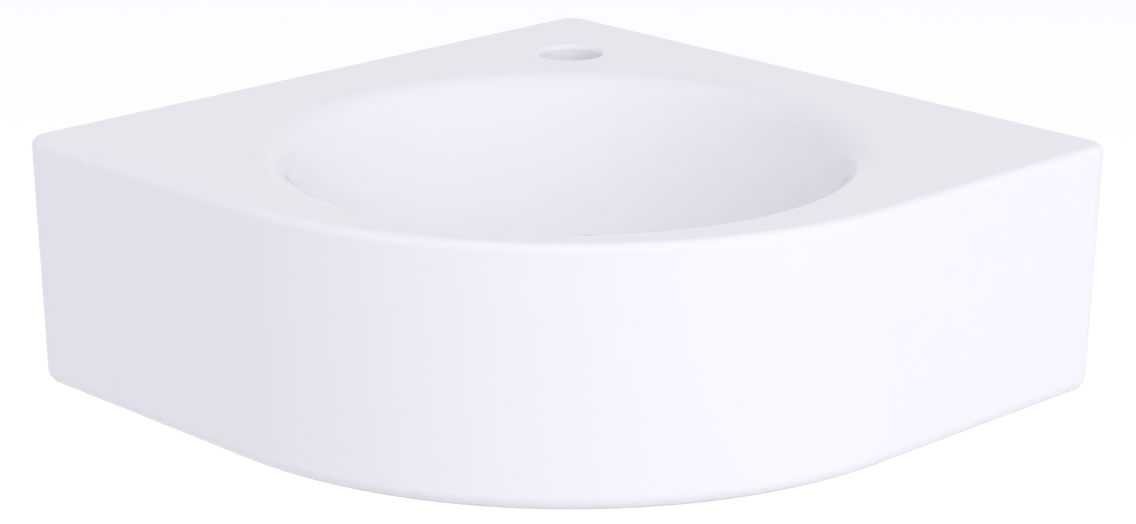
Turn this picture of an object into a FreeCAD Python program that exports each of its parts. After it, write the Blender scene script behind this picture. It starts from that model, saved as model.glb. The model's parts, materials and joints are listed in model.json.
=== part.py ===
import FreeCAD, Part
import math
import os

import Sketcher

# Corner basin that hangs on two walls meeting at a right angle.
#
# Frame: millimetres, +Z up, z = 0 on the deck. The origin is where the two wall faces
# and the deck's plane meet, in the corner of the room. The basin's round front points
# along -Y, and the two walls run from the origin along (+X, -Y) and (-X, -Y).
#
# The waste's pieces are drawn about their own axis, with z = 0 on the china seat that
# the flange rests on. The wall fixings are drawn about the stud's axis, with z = 0 on
# the wall's face and +Z into the wall.

# Driving sizes: millimetres, and degrees for a name that ends in _angle.
SIZES = {
    # China, outside: a square against the walls with one large round in front
    "wing_length": 400.0,
    "front_round": 229.0,
    "tip_round": 11.5,
    "room_corner_round": 12.0,
    "body_height": 136.0,
    "apron_lean": 4.4,
    "rim_round": 5.0,
    "foot_round": 8.0,
    # China, inside
    "deck_thickness": 14.0,
    "apron_wall": 11.0,
    "foot_inner_round": 2.5,
    "hollow_round": 15.0,
    "ceiling_round": 8.0,
    # Bowl: a round basin sunk in the deck
    "bowl_back": 145.3,
    "rim_width": 24.1,
    "bowl_depth": 104.0,
    "bowl_lean_angle": 32.0,
    "bowl_fall_angle": 4.0,
    "bowl_corner": 96.0,
    "bowl_edge_round": 18.0,
    "bowl_wall": 10.0,
    # Tap hole
    "tap_setback": 94.5,
    "tap_bore": 35.0,
    "tap_edge_round": 3.0,
    "tap_under_round": 1.5,
    # Waste seat in the bowl's floor
    "seat_recess": 4.0,
    "seat_clearance": 1.5,
    "seat_edge_round": 2.0,
    "seat_thickness": 12.0,
    "seat_margin": 6.0,
    "waste_hole": 46.0,
    # Fixing points in the two back walls
    "stud_reach": 300.0,
    "stud_drop": 55.0,
    "fixing_hole": 15.0,
    "boss_diameter": 44.0,
    "boss_height": 7.0,
    # Hanger studs and what clamps the china to them
    "stud_diameter": 10.0,
    "stud_embed": 75.0,
    "stud_point": 6.0,
    "stud_neck_diameter": 8.6,
    "stud_neck": 6.0,
    "screw_diameter": 9.6,
    "stud_tail": 4.0,
    "stud_gap": 0.15,
    "sleeve_gap": 0.2,
    "sleeve_setback": 1.0,
    "sleeve_flange": 28.0,
    "sleeve_flange_thickness": 3.0,
    "washer_diameter": 30.0,
    "washer_thickness": 2.0,
    "nut_flats": 17.0,
    "nut_height": 8.0,
    "nut_cap_wall": 1.6,
    "nut_cap_gap": 0.1,
    "nut_cap_headroom": 1.0,
    "nut_cap_round": 3.0,
    # Waste: flange, tube and crossbar
    "flange_diameter": 63.0,
    "flange_thickness": 3.0,
    "flange_round": 1.2,
    "mouth_diameter": 47.0,
    "mouth_depth": 6.0,
    "collar_diameter": 45.0,
    "collar_depth": 5.0,
    "tube_diameter": 41.9,
    "tube_bore": 37.5,
    "tail_length": 68.0,
    "tail_groove": 1.5,
    "tail_groove_depth": 0.6,
    "tube_gap": 0.15,
    "hub_drop": 18.0,
    "hub_height": 8.0,
    "hub_diameter": 18.0,
    "arm_width": 4.0,
    "arm_count": 3,
    # Waste: seals and nut
    "flange_seal_diameter": 60.0,
    "flange_seal_thickness": 2.0,
    "tail_seal_diameter": 60.0,
    "tail_seal_taper": 3.0,
    "tail_seal_thickness": 7.0,
    "slip_washer_diameter": 56.0,
    "slip_washer_thickness": 1.5,
    "backnut_flats": 52.0,
    "backnut_height": 10.0,
    # Press-press cartridge
    "cap_travel": 8.0,
    "housing_diameter": 15.0,
    "housing_rise": 16.0,
    "housing_drop": 22.0,
    "housing_thread": 12.0,
    "housing_bore": 9.8,
    "housing_roof": 2.0,
    "thread_gap": 0.05,
    "running_gap": 0.06,
    "base_thickness": 3.0,
    "shaft_diameter": 7.0,
    "plunger_length": 15.0,
    "latch_wire": 0.9,
    "latch_radius": 3.95,
    "latch_bend": 1.0,
    "latch_top_drop": 13.5,
    "latch_reach": 1.2,
    "latch_gap": 0.25,
    "latch_foot": 1.5,
    "slot_roof": 3.0,
    "spring_diameter": 6.0,
    "spring_wire": 0.8,
    "spring_turns": 7,
    "spring_seat_gap": 0.03,
    # Plug cap
    "cap_diameter": 44.0,
    "cap_edge": 1.6,
    "cap_crown": 4.0,
    "cap_sink": 1.2,
    "cap_boss_diameter": 34.0,
    "cap_lip": 1.0,
    "cap_lip_height": 1.5,
    "cap_seal_height": 3.0,
    "cap_seal_flare": 1.5,
    "cap_seal_gap": 0.35,
    "spindle_diameter": 4.0,
    "spindle_in_cap": 4.0,
    "spindle_in_plunger": 5.5,
    "spindle_end_gap": 0.2,
}

WALL_TURN = 45.0
FULL_TURN = 360.0
CUT_MARGIN = 5.0
FINDING_TOLERANCE = 0.01
X_AXIS = FreeCAD.Vector(1, 0, 0)
Y_AXIS = FreeCAD.Vector(0, 1, 0)
Z_AXIS = FreeCAD.Vector(0, 0, 1)


class Size:
    """A number together with the formula that ties it to the sheet."""

    def __init__(self, value, formula):
        self.value = value
        self.formula = formula

    @staticmethod
    def of(number):
        return number if isinstance(number, Size) else Size(float(number), str(number))

    def __add__(self, other):
        other = Size.of(other)
        return Size(self.value + other.value, f"({self.formula} + {other.formula})")

    def __sub__(self, other):
        other = Size.of(other)
        return Size(self.value - other.value, f"({self.formula} - {other.formula})")

    def __mul__(self, other):
        other = Size.of(other)
        return Size(self.value * other.value, f"({self.formula} * {other.formula})")

    def __truediv__(self, other):
        other = Size.of(other)
        return Size(self.value / other.value, f"({self.formula} / {other.formula})")

    def __neg__(self):
        return Size(-self.value, f"(-1 * {self.formula})")

    def __rsub__(self, other):
        return Size.of(other) - self


def root(number):
    """Square root of a plain number, as a size."""
    return Size(math.sqrt(number), f"sqrt({number})")


def tangent(angle):
    return Size(math.tan(math.radians(angle.value)), f"tan({angle.formula})")


def cosine(angle):
    return Size(math.cos(math.radians(angle.value)), f"cos({angle.formula})")


def smaller(first, second):
    return Size(min(first.value, second.value), f"min({first.formula}; {second.formula})")


DECK = Size(0.0, "0")


class Sizes:
    """The sheet's driving sizes, and the places and levels worked out from them."""

    def __init__(self, sheet):
        for alias in SIZES:
            setattr(self, alias, Size(float(sheet.get(alias)), f"sizes.{alias}"))

        # China
        self.front_reach = (self.wing_length - self.front_round) * root(2) + self.front_round
        self.bowl_radius = (self.front_reach - self.bowl_back - self.rim_width) / 2
        self.bowl_centre = self.bowl_back + self.bowl_radius
        self.seat_depth = self.bowl_depth + self.seat_recess
        self.seat_radius = self.flange_diameter / 2 + self.seat_clearance
        # The bowl's corner leaves a straight floor round the seat's rounded edge
        lean, fall = tangent(self.bowl_lean_angle), tangent(self.bowl_fall_angle)
        floor_reach = (self.bowl_radius - self.bowl_depth * lean) / (1 - lean * fall)
        straight = (floor_reach - self.seat_radius - self.seat_edge_round) / cosine(self.bowl_fall_angle)
        half_bend = (90 - self.bowl_lean_angle - self.bowl_fall_angle) / 2
        self.bowl_bend = smaller(self.bowl_corner, straight / tangent(half_bend))

        # Waste levels, from the china seat
        self.flange_under = self.flange_seal_thickness
        self.flange_top = self.flange_under + self.flange_thickness
        self.mouth_floor = self.flange_top - self.mouth_depth
        self.china_under = -self.seat_thickness
        self.tail_seal_under = self.china_under - self.tail_seal_thickness
        self.slip_washer_under = self.tail_seal_under - self.slip_washer_thickness
        self.backnut_under = self.slip_washer_under - self.backnut_height
        self.tube_fit = self.tube_diameter / 2 + self.tube_gap
        self.hub_top = -self.hub_drop
        self.hub_under = self.hub_top - self.hub_height
        self.housing_top = self.hub_top + self.housing_rise
        self.housing_ceiling = self.housing_top - self.housing_roof
        self.housing_under = self.hub_top - self.housing_drop
        self.base_top = self.housing_under + self.base_thickness

        # The plug stands open: its closed level raised by its travel
        self.cap_under = self.flange_top - self.cap_sink + self.cap_travel
        self.cap_groove_under = self.cap_under - self.cap_seal_height
        self.cap_boss_under = self.cap_groove_under - self.cap_lip_height
        self.cap_edge_top = self.cap_under + self.cap_edge
        self.plunger_top = self.housing_ceiling - self.running_gap
        self.plunger_under = self.plunger_top - self.plunger_length

        # Fixing levels, from the wall's face
        self.boss_face = -(self.apron_wall + self.boss_height)
        self.sleeve_end = self.boss_face - self.sleeve_flange_thickness
        self.washer_end = self.sleeve_end - self.washer_thickness
        self.nut_end = self.washer_end - self.nut_height
        self.stud_end = self.nut_end - self.stud_tail


# ---------------------------------------------------------------- drawing helpers


def make_sheet(doc):
    """The sheet of driving sizes, one alias a row."""
    sheet = doc.addObject("Spreadsheet::Sheet", "sizes")
    for row, (alias, number) in enumerate(SIZES.items(), start=1):
        sheet.set(f"A{row}", alias)
        sheet.set(f"B{row}", str(number))
        sheet.setAlias(f"B{row}", alias)
    doc.recompute()
    return sheet


def make_body(doc, label):
    body = doc.addObject("PartDesign::Body", label)
    body.Label = label
    return body


def origin_plane(body, role):
    return next(f for f in body.Origin.OriginFeatures if f.Role == role)


def tie(thing, path, size):
    """Bind one property to the sheet."""
    thing.setExpression(path, size.formula)


def place(thing, x=None, y=None, z=None):
    """Put a piece where the sheet says."""
    for axis, size in (("x", x), ("y", y), ("z", z)):
        if size is not None:
            tie(thing, f"Placement.Base.{axis}", size)


def make_sketch(body, name, role="XZ_Plane", turn=None, lift=None):
    """A sketch on one of the body's own origin planes, turned in it or lifted off it."""
    sketch = body.newObject("Sketcher::SketchObject", name)
    sketch.AttachmentSupport = (origin_plane(body, role), [""])
    sketch.MapMode = "FlatFace"
    if turn is not None:
        sketch.AttachmentOffset = FreeCAD.Placement(FreeCAD.Vector(), turn)
    if lift is not None:
        tie(sketch, "AttachmentOffset.Base.z", lift)
    return sketch


def dimension(sketch, kind, where, size, unit=""):
    """A named dimension whose value comes from the sheet."""
    value = math.radians(size.value) if unit else size.value
    index = sketch.addConstraint(Sketcher.Constraint(kind, *where, value))
    name = f"size_{index}"
    sketch.renameConstraint(index, name)
    sketch.setExpression(f"Constraints.{name}", f"{size.formula}{unit}")


def pin_point(sketch, edge, end, x, y):
    """Fix one end of an edge at (x, y), where None is on the sketch's own axis."""
    if x is None:
        sketch.addConstraint(Sketcher.Constraint("PointOnObject", edge, end, -2))
    else:
        dimension(sketch, "DistanceX", (-1, 1, edge, end), x)
    if y is None:
        sketch.addConstraint(Sketcher.Constraint("PointOnObject", edge, end, -1))
    else:
        dimension(sketch, "DistanceY", (-1, 1, edge, end), y)


def point(x, y):
    return FreeCAD.Vector(x.value if x else 0.0, y.value if y else 0.0, 0)


def draw_polygon(sketch, corners):
    """Closed outline of straight edges through corners whose places come from the sheet."""
    spots = [point(x, y) for x, y in corners]
    for start, end in zip(spots, spots[1:] + spots[:1]):
        sketch.addGeometry(Part.LineSegment(start, end))
    count = len(corners)
    for edge in range(count):
        sketch.addConstraint(Sketcher.Constraint("Coincident", edge, 2, (edge + 1) % count, 1))
    for edge, (x, y) in enumerate(corners):
        pin_point(sketch, edge, 1, x, y)


def draw_circle(sketch, x, y, radius):
    edge = sketch.addGeometry(Part.Circle(point(x, y), Z_AXIS, radius.value))
    pin_point(sketch, edge, 3, x, y)
    dimension(sketch, "Radius", (edge,), radius)


def draw_hexagon(sketch, flats):
    """Hexagon about the sketch's origin, from its width across the flats."""
    corner = flats / root(3)
    half = corner / 2
    side = flats / 2
    draw_polygon(
        sketch,
        [(corner, None), (half, side), (-half, side), (-corner, None), (-half, -side), (half, -side)],
    )


def draw_rounded_square(sketch, near, far, rounds):
    """Square from (near, -near) to (far, -far), with its own round at each corner.

    The rounds are those of the corners by the room's corner, the right tip, the front
    and the left tip, in that order.
    """
    lo, hi = near.value, far.value
    room, right, front, left = (r.value for r in rounds)
    spots = [
        ((lo + room, -lo), (hi - right, -lo)),
        ((hi, -lo - right), (hi, -hi + front)),
        ((hi - front, -hi), (lo + left, -hi)),
        ((lo, -hi + left), (lo, -lo - room)),
    ]
    lines = [
        sketch.addGeometry(Part.LineSegment(FreeCAD.Vector(*start, 0), FreeCAD.Vector(*end, 0)))
        for start, end in spots
    ]
    centres = [
        (hi - right, -lo - right, right, 0, 90),
        (hi - front, -hi + front, front, 270, 360),
        (lo + left, -hi + left, left, 180, 270),
        (lo + room, -lo - room, room, 90, 180),
    ]
    arcs = []
    for x, y, radius, start, end in centres:
        circle = Part.Circle(FreeCAD.Vector(x, y, 0), Z_AXIS, radius)
        arcs.append(
            sketch.addGeometry(Part.ArcOfCircle(circle, math.radians(start), math.radians(end)))
        )
    for index, arc in enumerate(arcs):
        before, after = lines[index], lines[(index + 1) % len(lines)]
        sketch.addConstraint(Sketcher.Constraint("Tangent", before, 2, arc, 2))
        sketch.addConstraint(Sketcher.Constraint("Tangent", arc, 1, after, 1))
    for line in (lines[0], lines[2]):
        sketch.addConstraint(Sketcher.Constraint("Horizontal", line))
    for line in (lines[1], lines[3]):
        sketch.addConstraint(Sketcher.Constraint("Vertical", line))
    dimension(sketch, "DistanceY", (-1, 1, lines[0], 1), -near)
    dimension(sketch, "DistanceX", (-1, 1, lines[3], 1), near)
    dimension(sketch, "DistanceX", (-1, 1, lines[1], 1), far)
    dimension(sketch, "DistanceY", (-1, 1, lines[2], 1), -far)
    for arc, radius in zip(arcs, rounds[1:] + rounds[:1]):
        dimension(sketch, "Radius", (arc,), radius)


def draw_bowl(sketch, wall_x, wall_top, depth, corner, lean, fall):
    """Half section of a bowl: falling floor, round corner and leaning wall, about the V axis.

    The wall's upper end is at (wall_x, wall_top), and the floor meets the axis at -depth.
    """
    lean_turn, fall_turn = math.radians(lean.value), math.radians(fall.value)
    x0, z0, low, bend = wall_x.value, wall_top.value, -depth.value, corner.value
    # The corner's centre is the same distance from the floor's line and the wall's line
    sin_f, cos_f = math.sin(fall_turn), math.cos(fall_turn)
    sin_w, cos_w = math.sin(lean_turn), math.cos(lean_turn)
    floor_side = bend + low * cos_f
    wall_side = bend - x0 * cos_w + z0 * sin_w
    scale = sin_f * sin_w - cos_f * cos_w
    centre_x = (wall_side * cos_f - floor_side * sin_w) / scale
    centre_z = (floor_side + centre_x * sin_f) / cos_f
    floor_end = FreeCAD.Vector(centre_x + bend * sin_f, centre_z - bend * cos_f, 0)
    wall_foot = FreeCAD.Vector(centre_x + bend * cos_w, centre_z - bend * sin_w, 0)
    bottom, top = FreeCAD.Vector(0, low, 0), FreeCAD.Vector(0, z0, 0)
    wall_head = FreeCAD.Vector(x0, z0, 0)

    floor = sketch.addGeometry(Part.LineSegment(bottom, floor_end))
    circle = Part.Circle(FreeCAD.Vector(centre_x, centre_z, 0), Z_AXIS, bend)
    turn = sketch.addGeometry(Part.ArcOfCircle(circle, fall_turn - math.pi / 2, -lean_turn))
    wall = sketch.addGeometry(Part.LineSegment(wall_foot, wall_head))
    lid = sketch.addGeometry(Part.LineSegment(wall_head, top))
    axis = sketch.addGeometry(Part.LineSegment(top, bottom))
    sketch.addConstraint(Sketcher.Constraint("Tangent", floor, 2, turn, 1))
    sketch.addConstraint(Sketcher.Constraint("Tangent", turn, 2, wall, 1))
    for first, second in ((wall, lid), (lid, axis), (axis, floor)):
        sketch.addConstraint(Sketcher.Constraint("Coincident", first, 2, second, 1))
    pin_point(sketch, wall, 2, wall_x, wall_top)
    pin_point(sketch, floor, 1, None, -depth)
    sketch.addConstraint(Sketcher.Constraint("Horizontal", lid))
    sketch.addConstraint(Sketcher.Constraint("PointOnObject", axis, 1, -2))
    dimension(sketch, "Angle", (floor,), fall, " * 1 deg")
    dimension(sketch, "Angle", (wall,), 90 - lean, " * 1 deg")
    dimension(sketch, "Radius", (turn,), corner)


# ---------------------------------------------------------------- feature helpers


def pad(body, sketch, name, length, down=False):
    feature = body.newObject("PartDesign::Pad", name)
    feature.Profile = sketch
    feature.Reversed = down
    tie(feature, "Length", length)
    return feature


def pocket(body, sketch, name, length, along_normal=True):
    feature = body.newObject("PartDesign::Pocket", name)
    feature.Profile = sketch
    feature.Reversed = along_normal
    tie(feature, "Length", length)
    return feature


def turned(body, sketch, name, kind="PartDesign::Revolution"):
    """A full turn about the sketch's V axis."""
    feature = body.newObject(kind, name)
    feature.Profile = sketch
    feature.ReferenceAxis = (sketch, ["V_Axis"])
    feature.Angle = FULL_TURN
    return feature


def round_edges(body, base, edges, radius, name):
    feature = body.newObject("PartDesign::Fillet", name)
    feature.Base = (base, edges)
    tie(feature, "Radius", radius)
    return feature


def found_edges(feature, test):
    """Names of the feature's edges that pass the test."""
    feature.Document.recompute()
    names = [f"Edge{i}" for i, edge in enumerate(feature.Shape.Edges, start=1) if test(edge)]
    if not names:
        raise RuntimeError(f"{feature.Label}: no edge found to round")
    return names


def lies_at(level):
    """Test for an edge that lies in the level plane z = level."""

    def test(edge):
        box = edge.BoundBox
        return max(abs(box.ZMin - level.value), abs(box.ZMax - level.value)) < FINDING_TOLERANCE

    return test


def ring_at(level, radius):
    """Test for a circle of the radius that lies in the level plane."""
    level_test = lies_at(level)

    def test(edge):
        curve = edge.Curve
        is_circle = isinstance(curve, Part.Circle)
        return level_test(edge) and is_circle and abs(curve.Radius - radius.value) < FINDING_TOLERANCE

    return test


def turned_piece(doc, label, corners):
    """A body turned about Z from one straight-edged half section."""
    body = make_body(doc, label)
    sketch = make_sketch(body, f"{label}_section")
    draw_polygon(sketch, corners)
    turned(body, sketch, f"{label}_turned")
    return body


def cut_ring(body, name, corners):
    """Cut away what a half section sweeps about Z."""
    sketch = make_sketch(body, f"{name}_section")
    draw_polygon(sketch, corners)
    return turned(body, sketch, name, "PartDesign::Groove")


def bevel_nut(body, name, flats, low, high):
    """Cone the six corners of a nut off at both ends, down to its flats."""
    inner, outer = flats / 2, flats / root(3)
    drop = (outer - inner) / root(3)
    cut_ring(body, f"{name}_top", [(inner, high), (outer, high), (outer, high - drop)])
    cut_ring(body, f"{name}_bottom", [(inner, low), (outer, low + drop), (outer, low)])


# ---------------------------------------------------------------- china


def make_basin_body(doc, s):
    """One casting: deck, apron, back walls, bowl, waste seat and fixing bosses."""
    body = make_body(doc, "basin_body")
    wall_turn = FreeCAD.Rotation(Z_AXIS, -WALL_TURN)

    # Block: the plan runs straight down, then the front leans in towards the foot
    plan = make_sketch(body, "deck_plan", "XY_Plane", turn=wall_turn)
    draw_front_square(plan, s)
    block = pad(body, plan, "block", s.body_height, down=True)
    doc.recompute()
    lean = body.newObject("PartDesign::Draft", "apron_lean")
    lean.Base = (block, front_faces(block))
    lean.NeutralPlane = (origin_plane(body, "XY_Plane"), [""])
    lean.setExpression("Angle", "atan(sizes.apron_lean / sizes.body_height)")
    lean.Reversed = True

    # Rounds of the block: upright corners first, then the rim and the foot
    tips = round_edges(body, lean, found_edges(lean, tip_edge(s)), s.tip_round, "tip_rounds")
    room = round_edges(
        body, tips, found_edges(tips, room_corner_edge), s.room_corner_round, "room_corner_round"
    )
    rim = round_edges(body, room, found_edges(room, lies_at(DECK)), s.rim_round, "rim_round")
    foot_edges = found_edges(rim, lies_at(-s.body_height))
    foot = round_edges(body, rim, foot_edges, s.foot_round, "foot_round")

    # Hollow underside
    hollow_plan = make_sketch(body, "hollow_plan", "XY_Plane", turn=wall_turn, lift=-s.body_height)
    hollow_far = s.wing_length - s.apron_lean - s.apron_wall
    hollow_front = s.front_round - s.apron_lean - s.apron_wall
    rounds = [s.hollow_round, s.hollow_round, hollow_front, s.hollow_round]
    draw_rounded_square(hollow_plan, s.apron_wall, hollow_far, rounds)
    hollow = pocket(body, hollow_plan, "hollow", s.body_height - s.deck_thickness)
    ceiling_edges = found_edges(hollow, lies_at(-s.deck_thickness))
    ceiling = round_edges(body, hollow, ceiling_edges, s.ceiling_round, "ceiling_round")
    inner_foot = round_edges(
        body,
        ceiling,
        found_edges(ceiling, inner_foot_edge(s)),
        s.foot_inner_round,
        "foot_inner_round",
    )

    # Bowl: its outside is added under the deck, then its inside is cut out of both
    outside_plan = make_sketch(body, "bowl_outside_section", lift=s.bowl_centre)
    outside_top = -s.deck_thickness / 2
    outside_x = s.bowl_radius + s.bowl_wall / cosine(s.bowl_lean_angle)
    draw_bowl(
        outside_plan,
        outside_x + outside_top * tangent(s.bowl_lean_angle),
        outside_top,
        s.bowl_depth + s.bowl_wall / cosine(s.bowl_fall_angle),
        s.bowl_bend + s.bowl_wall,
        s.bowl_lean_angle,
        s.bowl_fall_angle,
    )
    turned(body, outside_plan, "bowl_outside")
    seat_plan = make_sketch(
        body, "seat_boss_plan", "XY_Plane", lift=-(s.seat_depth + s.seat_thickness)
    )
    boss_radius = s.tail_seal_diameter / 2 + s.seat_margin
    draw_circle(seat_plan, None, -s.bowl_centre, boss_radius)
    pad(body, seat_plan, "seat_boss", s.seat_thickness)

    inside_plan = make_sketch(body, "bowl_inside_section", lift=s.bowl_centre)
    above = DECK + CUT_MARGIN
    draw_bowl(
        inside_plan,
        s.bowl_radius + above * tangent(s.bowl_lean_angle),
        above,
        s.bowl_depth,
        s.bowl_bend,
        s.bowl_lean_angle,
        s.bowl_fall_angle,
    )
    bowl = turned(body, inside_plan, "bowl_inside", "PartDesign::Groove")
    bowl_edges = found_edges(bowl, ring_at(DECK, s.bowl_radius))
    bowl_edge = round_edges(body, bowl, bowl_edges, s.bowl_edge_round, "bowl_edge_round")

    # Waste seat: a recess for the flange and the hole through its floor
    seat_section = make_sketch(body, "waste_seat_section", lift=s.bowl_centre)
    seat_top = -s.bowl_depth + s.seat_radius
    hole_under = -(s.seat_depth + s.seat_thickness + CUT_MARGIN)
    hole = s.waste_hole / 2
    draw_polygon(
        seat_section,
        [
            (None, seat_top),
            (None, hole_under),
            (hole, hole_under),
            (hole, -s.seat_depth),
            (s.seat_radius, -s.seat_depth),
            (s.seat_radius, seat_top),
        ],
    )
    seat = turned(body, seat_section, "waste_seat", "PartDesign::Groove")
    brink = -s.bowl_depth + s.seat_radius * tangent(s.bowl_fall_angle)
    seat_edges = found_edges(seat, ring_at(brink, s.seat_radius))
    round_edges(body, seat, seat_edges, s.seat_edge_round, "seat_edge_round")

    # Tap hole through the deck
    tap_plan = make_sketch(body, "tap_hole_plan", "XY_Plane")
    draw_circle(tap_plan, None, -s.tap_setback, s.tap_bore / 2)
    tap = pocket(body, tap_plan, "tap_hole", s.deck_thickness + CUT_MARGIN, along_normal=False)
    tap_edges = found_edges(tap, ring_at(DECK, s.tap_bore / 2))
    tap_top = round_edges(body, tap, tap_edges, s.tap_edge_round, "tap_edge_round")
    under_edges = found_edges(tap_top, ring_at(-s.deck_thickness, s.tap_bore / 2))
    round_edges(body, tap_top, under_edges, s.tap_under_round, "tap_under_round")

    # Fixing points: a boss inside each back wall with the stud's hole through it
    to_wall = FreeCAD.Rotation(Y_AXIS, -WALL_TURN)
    boss_plan = make_sketch(body, "fixing_boss_plan", turn=to_wall)
    draw_circle(boss_plan, s.stud_reach, -s.stud_drop, s.boss_diameter / 2)
    boss = pad(body, boss_plan, "fixing_boss", s.apron_wall + s.boss_height)
    hole_plan = make_sketch(body, "fixing_hole_plan", turn=to_wall)
    draw_circle(hole_plan, s.stud_reach, -s.stud_drop, s.fixing_hole / 2)
    fixing = pocket(body, hole_plan, "fixing_hole", s.apron_wall + s.boss_height + CUT_MARGIN)
    mirrored = body.newObject("PartDesign::Mirrored", "left_fixing")
    mirrored.Originals = [boss, fixing]
    mirrored.MirrorPlane = (origin_plane(body, "YZ_Plane"), [""])
    body.Tip = mirrored
    return body


def draw_front_square(sketch, s):
    """Plan with three sharp corners and the front round, drawn along the walls."""
    side, bend = s.wing_length.value, s.front_round.value
    spots = [(0, 0), (side, 0), (side, bend - side), (side - bend, -side), (0, -side)]
    ends = [FreeCAD.Vector(x, y, 0) for x, y in spots]
    right_wall = sketch.addGeometry(Part.LineSegment(ends[0], ends[1]))
    right_end = sketch.addGeometry(Part.LineSegment(ends[1], ends[2]))
    circle = Part.Circle(FreeCAD.Vector(side - bend, bend - side, 0), Z_AXIS, bend)
    front = sketch.addGeometry(Part.ArcOfCircle(circle, -math.pi / 2, 0))
    left_end = sketch.addGeometry(Part.LineSegment(ends[3], ends[4]))
    left_wall = sketch.addGeometry(Part.LineSegment(ends[4], ends[0]))
    for first, second in ((right_wall, right_end), (left_end, left_wall), (left_wall, right_wall)):
        sketch.addConstraint(Sketcher.Constraint("Coincident", first, 2, second, 1))
    sketch.addConstraint(Sketcher.Constraint("Tangent", right_end, 2, front, 2))
    sketch.addConstraint(Sketcher.Constraint("Tangent", front, 1, left_end, 1))
    sketch.addConstraint(Sketcher.Constraint("Coincident", right_wall, 1, -1, 1))
    for line in (right_wall, left_end):
        sketch.addConstraint(Sketcher.Constraint("Horizontal", line))
    for line in (right_end, left_wall):
        sketch.addConstraint(Sketcher.Constraint("Vertical", line))
    dimension(sketch, "DistanceX", (-1, 1, right_wall, 2), s.wing_length)
    dimension(sketch, "DistanceY", (-1, 1, left_wall, 1), -s.wing_length)
    dimension(sketch, "Radius", (front,), s.front_round)


def front_faces(block):
    """The block's upright faces that don't lie on a wall: two ends and the front round."""
    names = []
    for index, face in enumerate(block.Shape.Faces, start=1):
        middle = face.CenterOfMass
        level = face.BoundBox.ZLength < FINDING_TOLERANCE
        on_wall = abs(abs(middle.x) + middle.y) < FINDING_TOLERANCE
        if not level and not on_wall:
            names.append(f"Face{index}")
    return names


def tip_edge(s):
    """Test for the upright edge at the end of either wing."""
    tip = s.wing_length.value / math.sqrt(2)

    def test(edge):
        top = max((vertex.Point for vertex in edge.Vertexes), key=lambda p: p.z)
        upright = edge.BoundBox.ZLength > FINDING_TOLERANCE
        at_tip = math.hypot(abs(top.x) - tip, top.y + tip) < FINDING_TOLERANCE
        return upright and at_tip

    return test


def room_corner_edge(edge):
    """Test for the upright edge in the corner of the room."""
    box = edge.BoundBox
    upright = box.ZLength > FINDING_TOLERANCE
    return upright and max(box.XLength, box.YLength, abs(box.Center.x), abs(box.Center.y)) < (
        FINDING_TOLERANCE
    )


def inner_foot_edge(s):
    """Test for the hollow's own edges in the foot's plane, not those of the foot's outside."""
    in_plane = lies_at(-s.body_height)
    inside = s.apron_wall.value - FINDING_TOLERANCE
    far = (s.wing_length - s.apron_lean - s.apron_wall).value + FINDING_TOLERANCE
    centre = (s.wing_length - s.front_round).value
    front = (s.front_round - s.apron_lean - s.apron_wall).value + FINDING_TOLERANCE

    def within(spot):
        right = (spot.x - spot.y) / math.sqrt(2)
        left = (-spot.x - spot.y) / math.sqrt(2)
        in_square = inside <= min(right, left) and max(right, left) <= far
        past_centre = min(right, left) > centre
        in_round = math.hypot(right - centre, left - centre) <= front
        return in_square and (in_round or not past_centre)

    return lambda edge: in_plane(edge) and all(within(v.Point) for v in edge.Vertexes)


# ---------------------------------------------------------------- waste


def on_waste_axis(body, s):
    place(body, y=-s.bowl_centre, z=-s.seat_depth)
    return body


def make_waste_body(doc, s):
    """Flange, tube and three-arm crossbar, cast and turned as one piece."""
    body = make_body(doc, "waste_body")
    section = make_sketch(body, "waste_section")
    bore, tube = s.tube_bore / 2, s.tube_diameter / 2
    collar, collar_under = s.collar_diameter / 2, s.flange_under - s.collar_depth
    # A groove under the backnut parts its thread from the free thread that takes the trap
    groove_under, groove_floor = s.backnut_under - s.tail_groove, tube - s.tail_groove_depth
    draw_polygon(
        section,
        [
            (bore, -s.tail_length),
            (tube, -s.tail_length),
            (tube, groove_under),
            (groove_floor, groove_under),
            (groove_floor, s.backnut_under),
            (tube, s.backnut_under),
            (tube, collar_under),
            (collar, collar_under),
            (collar, s.flange_under),
            (s.flange_diameter / 2, s.flange_under),
            (s.flange_diameter / 2, s.flange_top),
            (s.mouth_diameter / 2, s.flange_top),
            (bore, s.mouth_floor),
        ],
    )
    shell = turned(body, section, "waste_shell")
    flange_edges = found_edges(shell, ring_at(s.flange_top, s.flange_diameter / 2))
    round_edges(body, shell, flange_edges, s.flange_round, "flange_round")

    arm_plan = make_sketch(body, "crossbar_arm_plan", "XY_Plane", lift=s.hub_under)
    half, reach = s.arm_width / 2, (bore + tube) / 2
    draw_polygon(arm_plan, [(None, -half), (reach, -half), (reach, half), (None, half)])
    arm = pad(body, arm_plan, "crossbar_arm", s.hub_height)
    arms = body.newObject("PartDesign::PolarPattern", "crossbar_arms")
    arms.Originals = [arm]
    arms.Axis = (arm_plan, ["N_Axis"])
    arms.Angle = FULL_TURN
    tie(arms, "Occurrences", s.arm_count)
    body.Tip = arms

    hub_plan = make_sketch(body, "crossbar_hub_plan", "XY_Plane", lift=s.hub_under)
    draw_circle(hub_plan, None, None, s.hub_diameter / 2)
    pad(body, hub_plan, "crossbar_hub", s.hub_height)
    hub_bore = make_sketch(body, "crossbar_bore_plan", "XY_Plane", lift=s.hub_under)
    draw_circle(hub_bore, None, None, s.housing_thread / 2 + s.thread_gap)
    pocket(body, hub_bore, "crossbar_bore", s.hub_height)
    return on_waste_axis(body, s)


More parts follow.
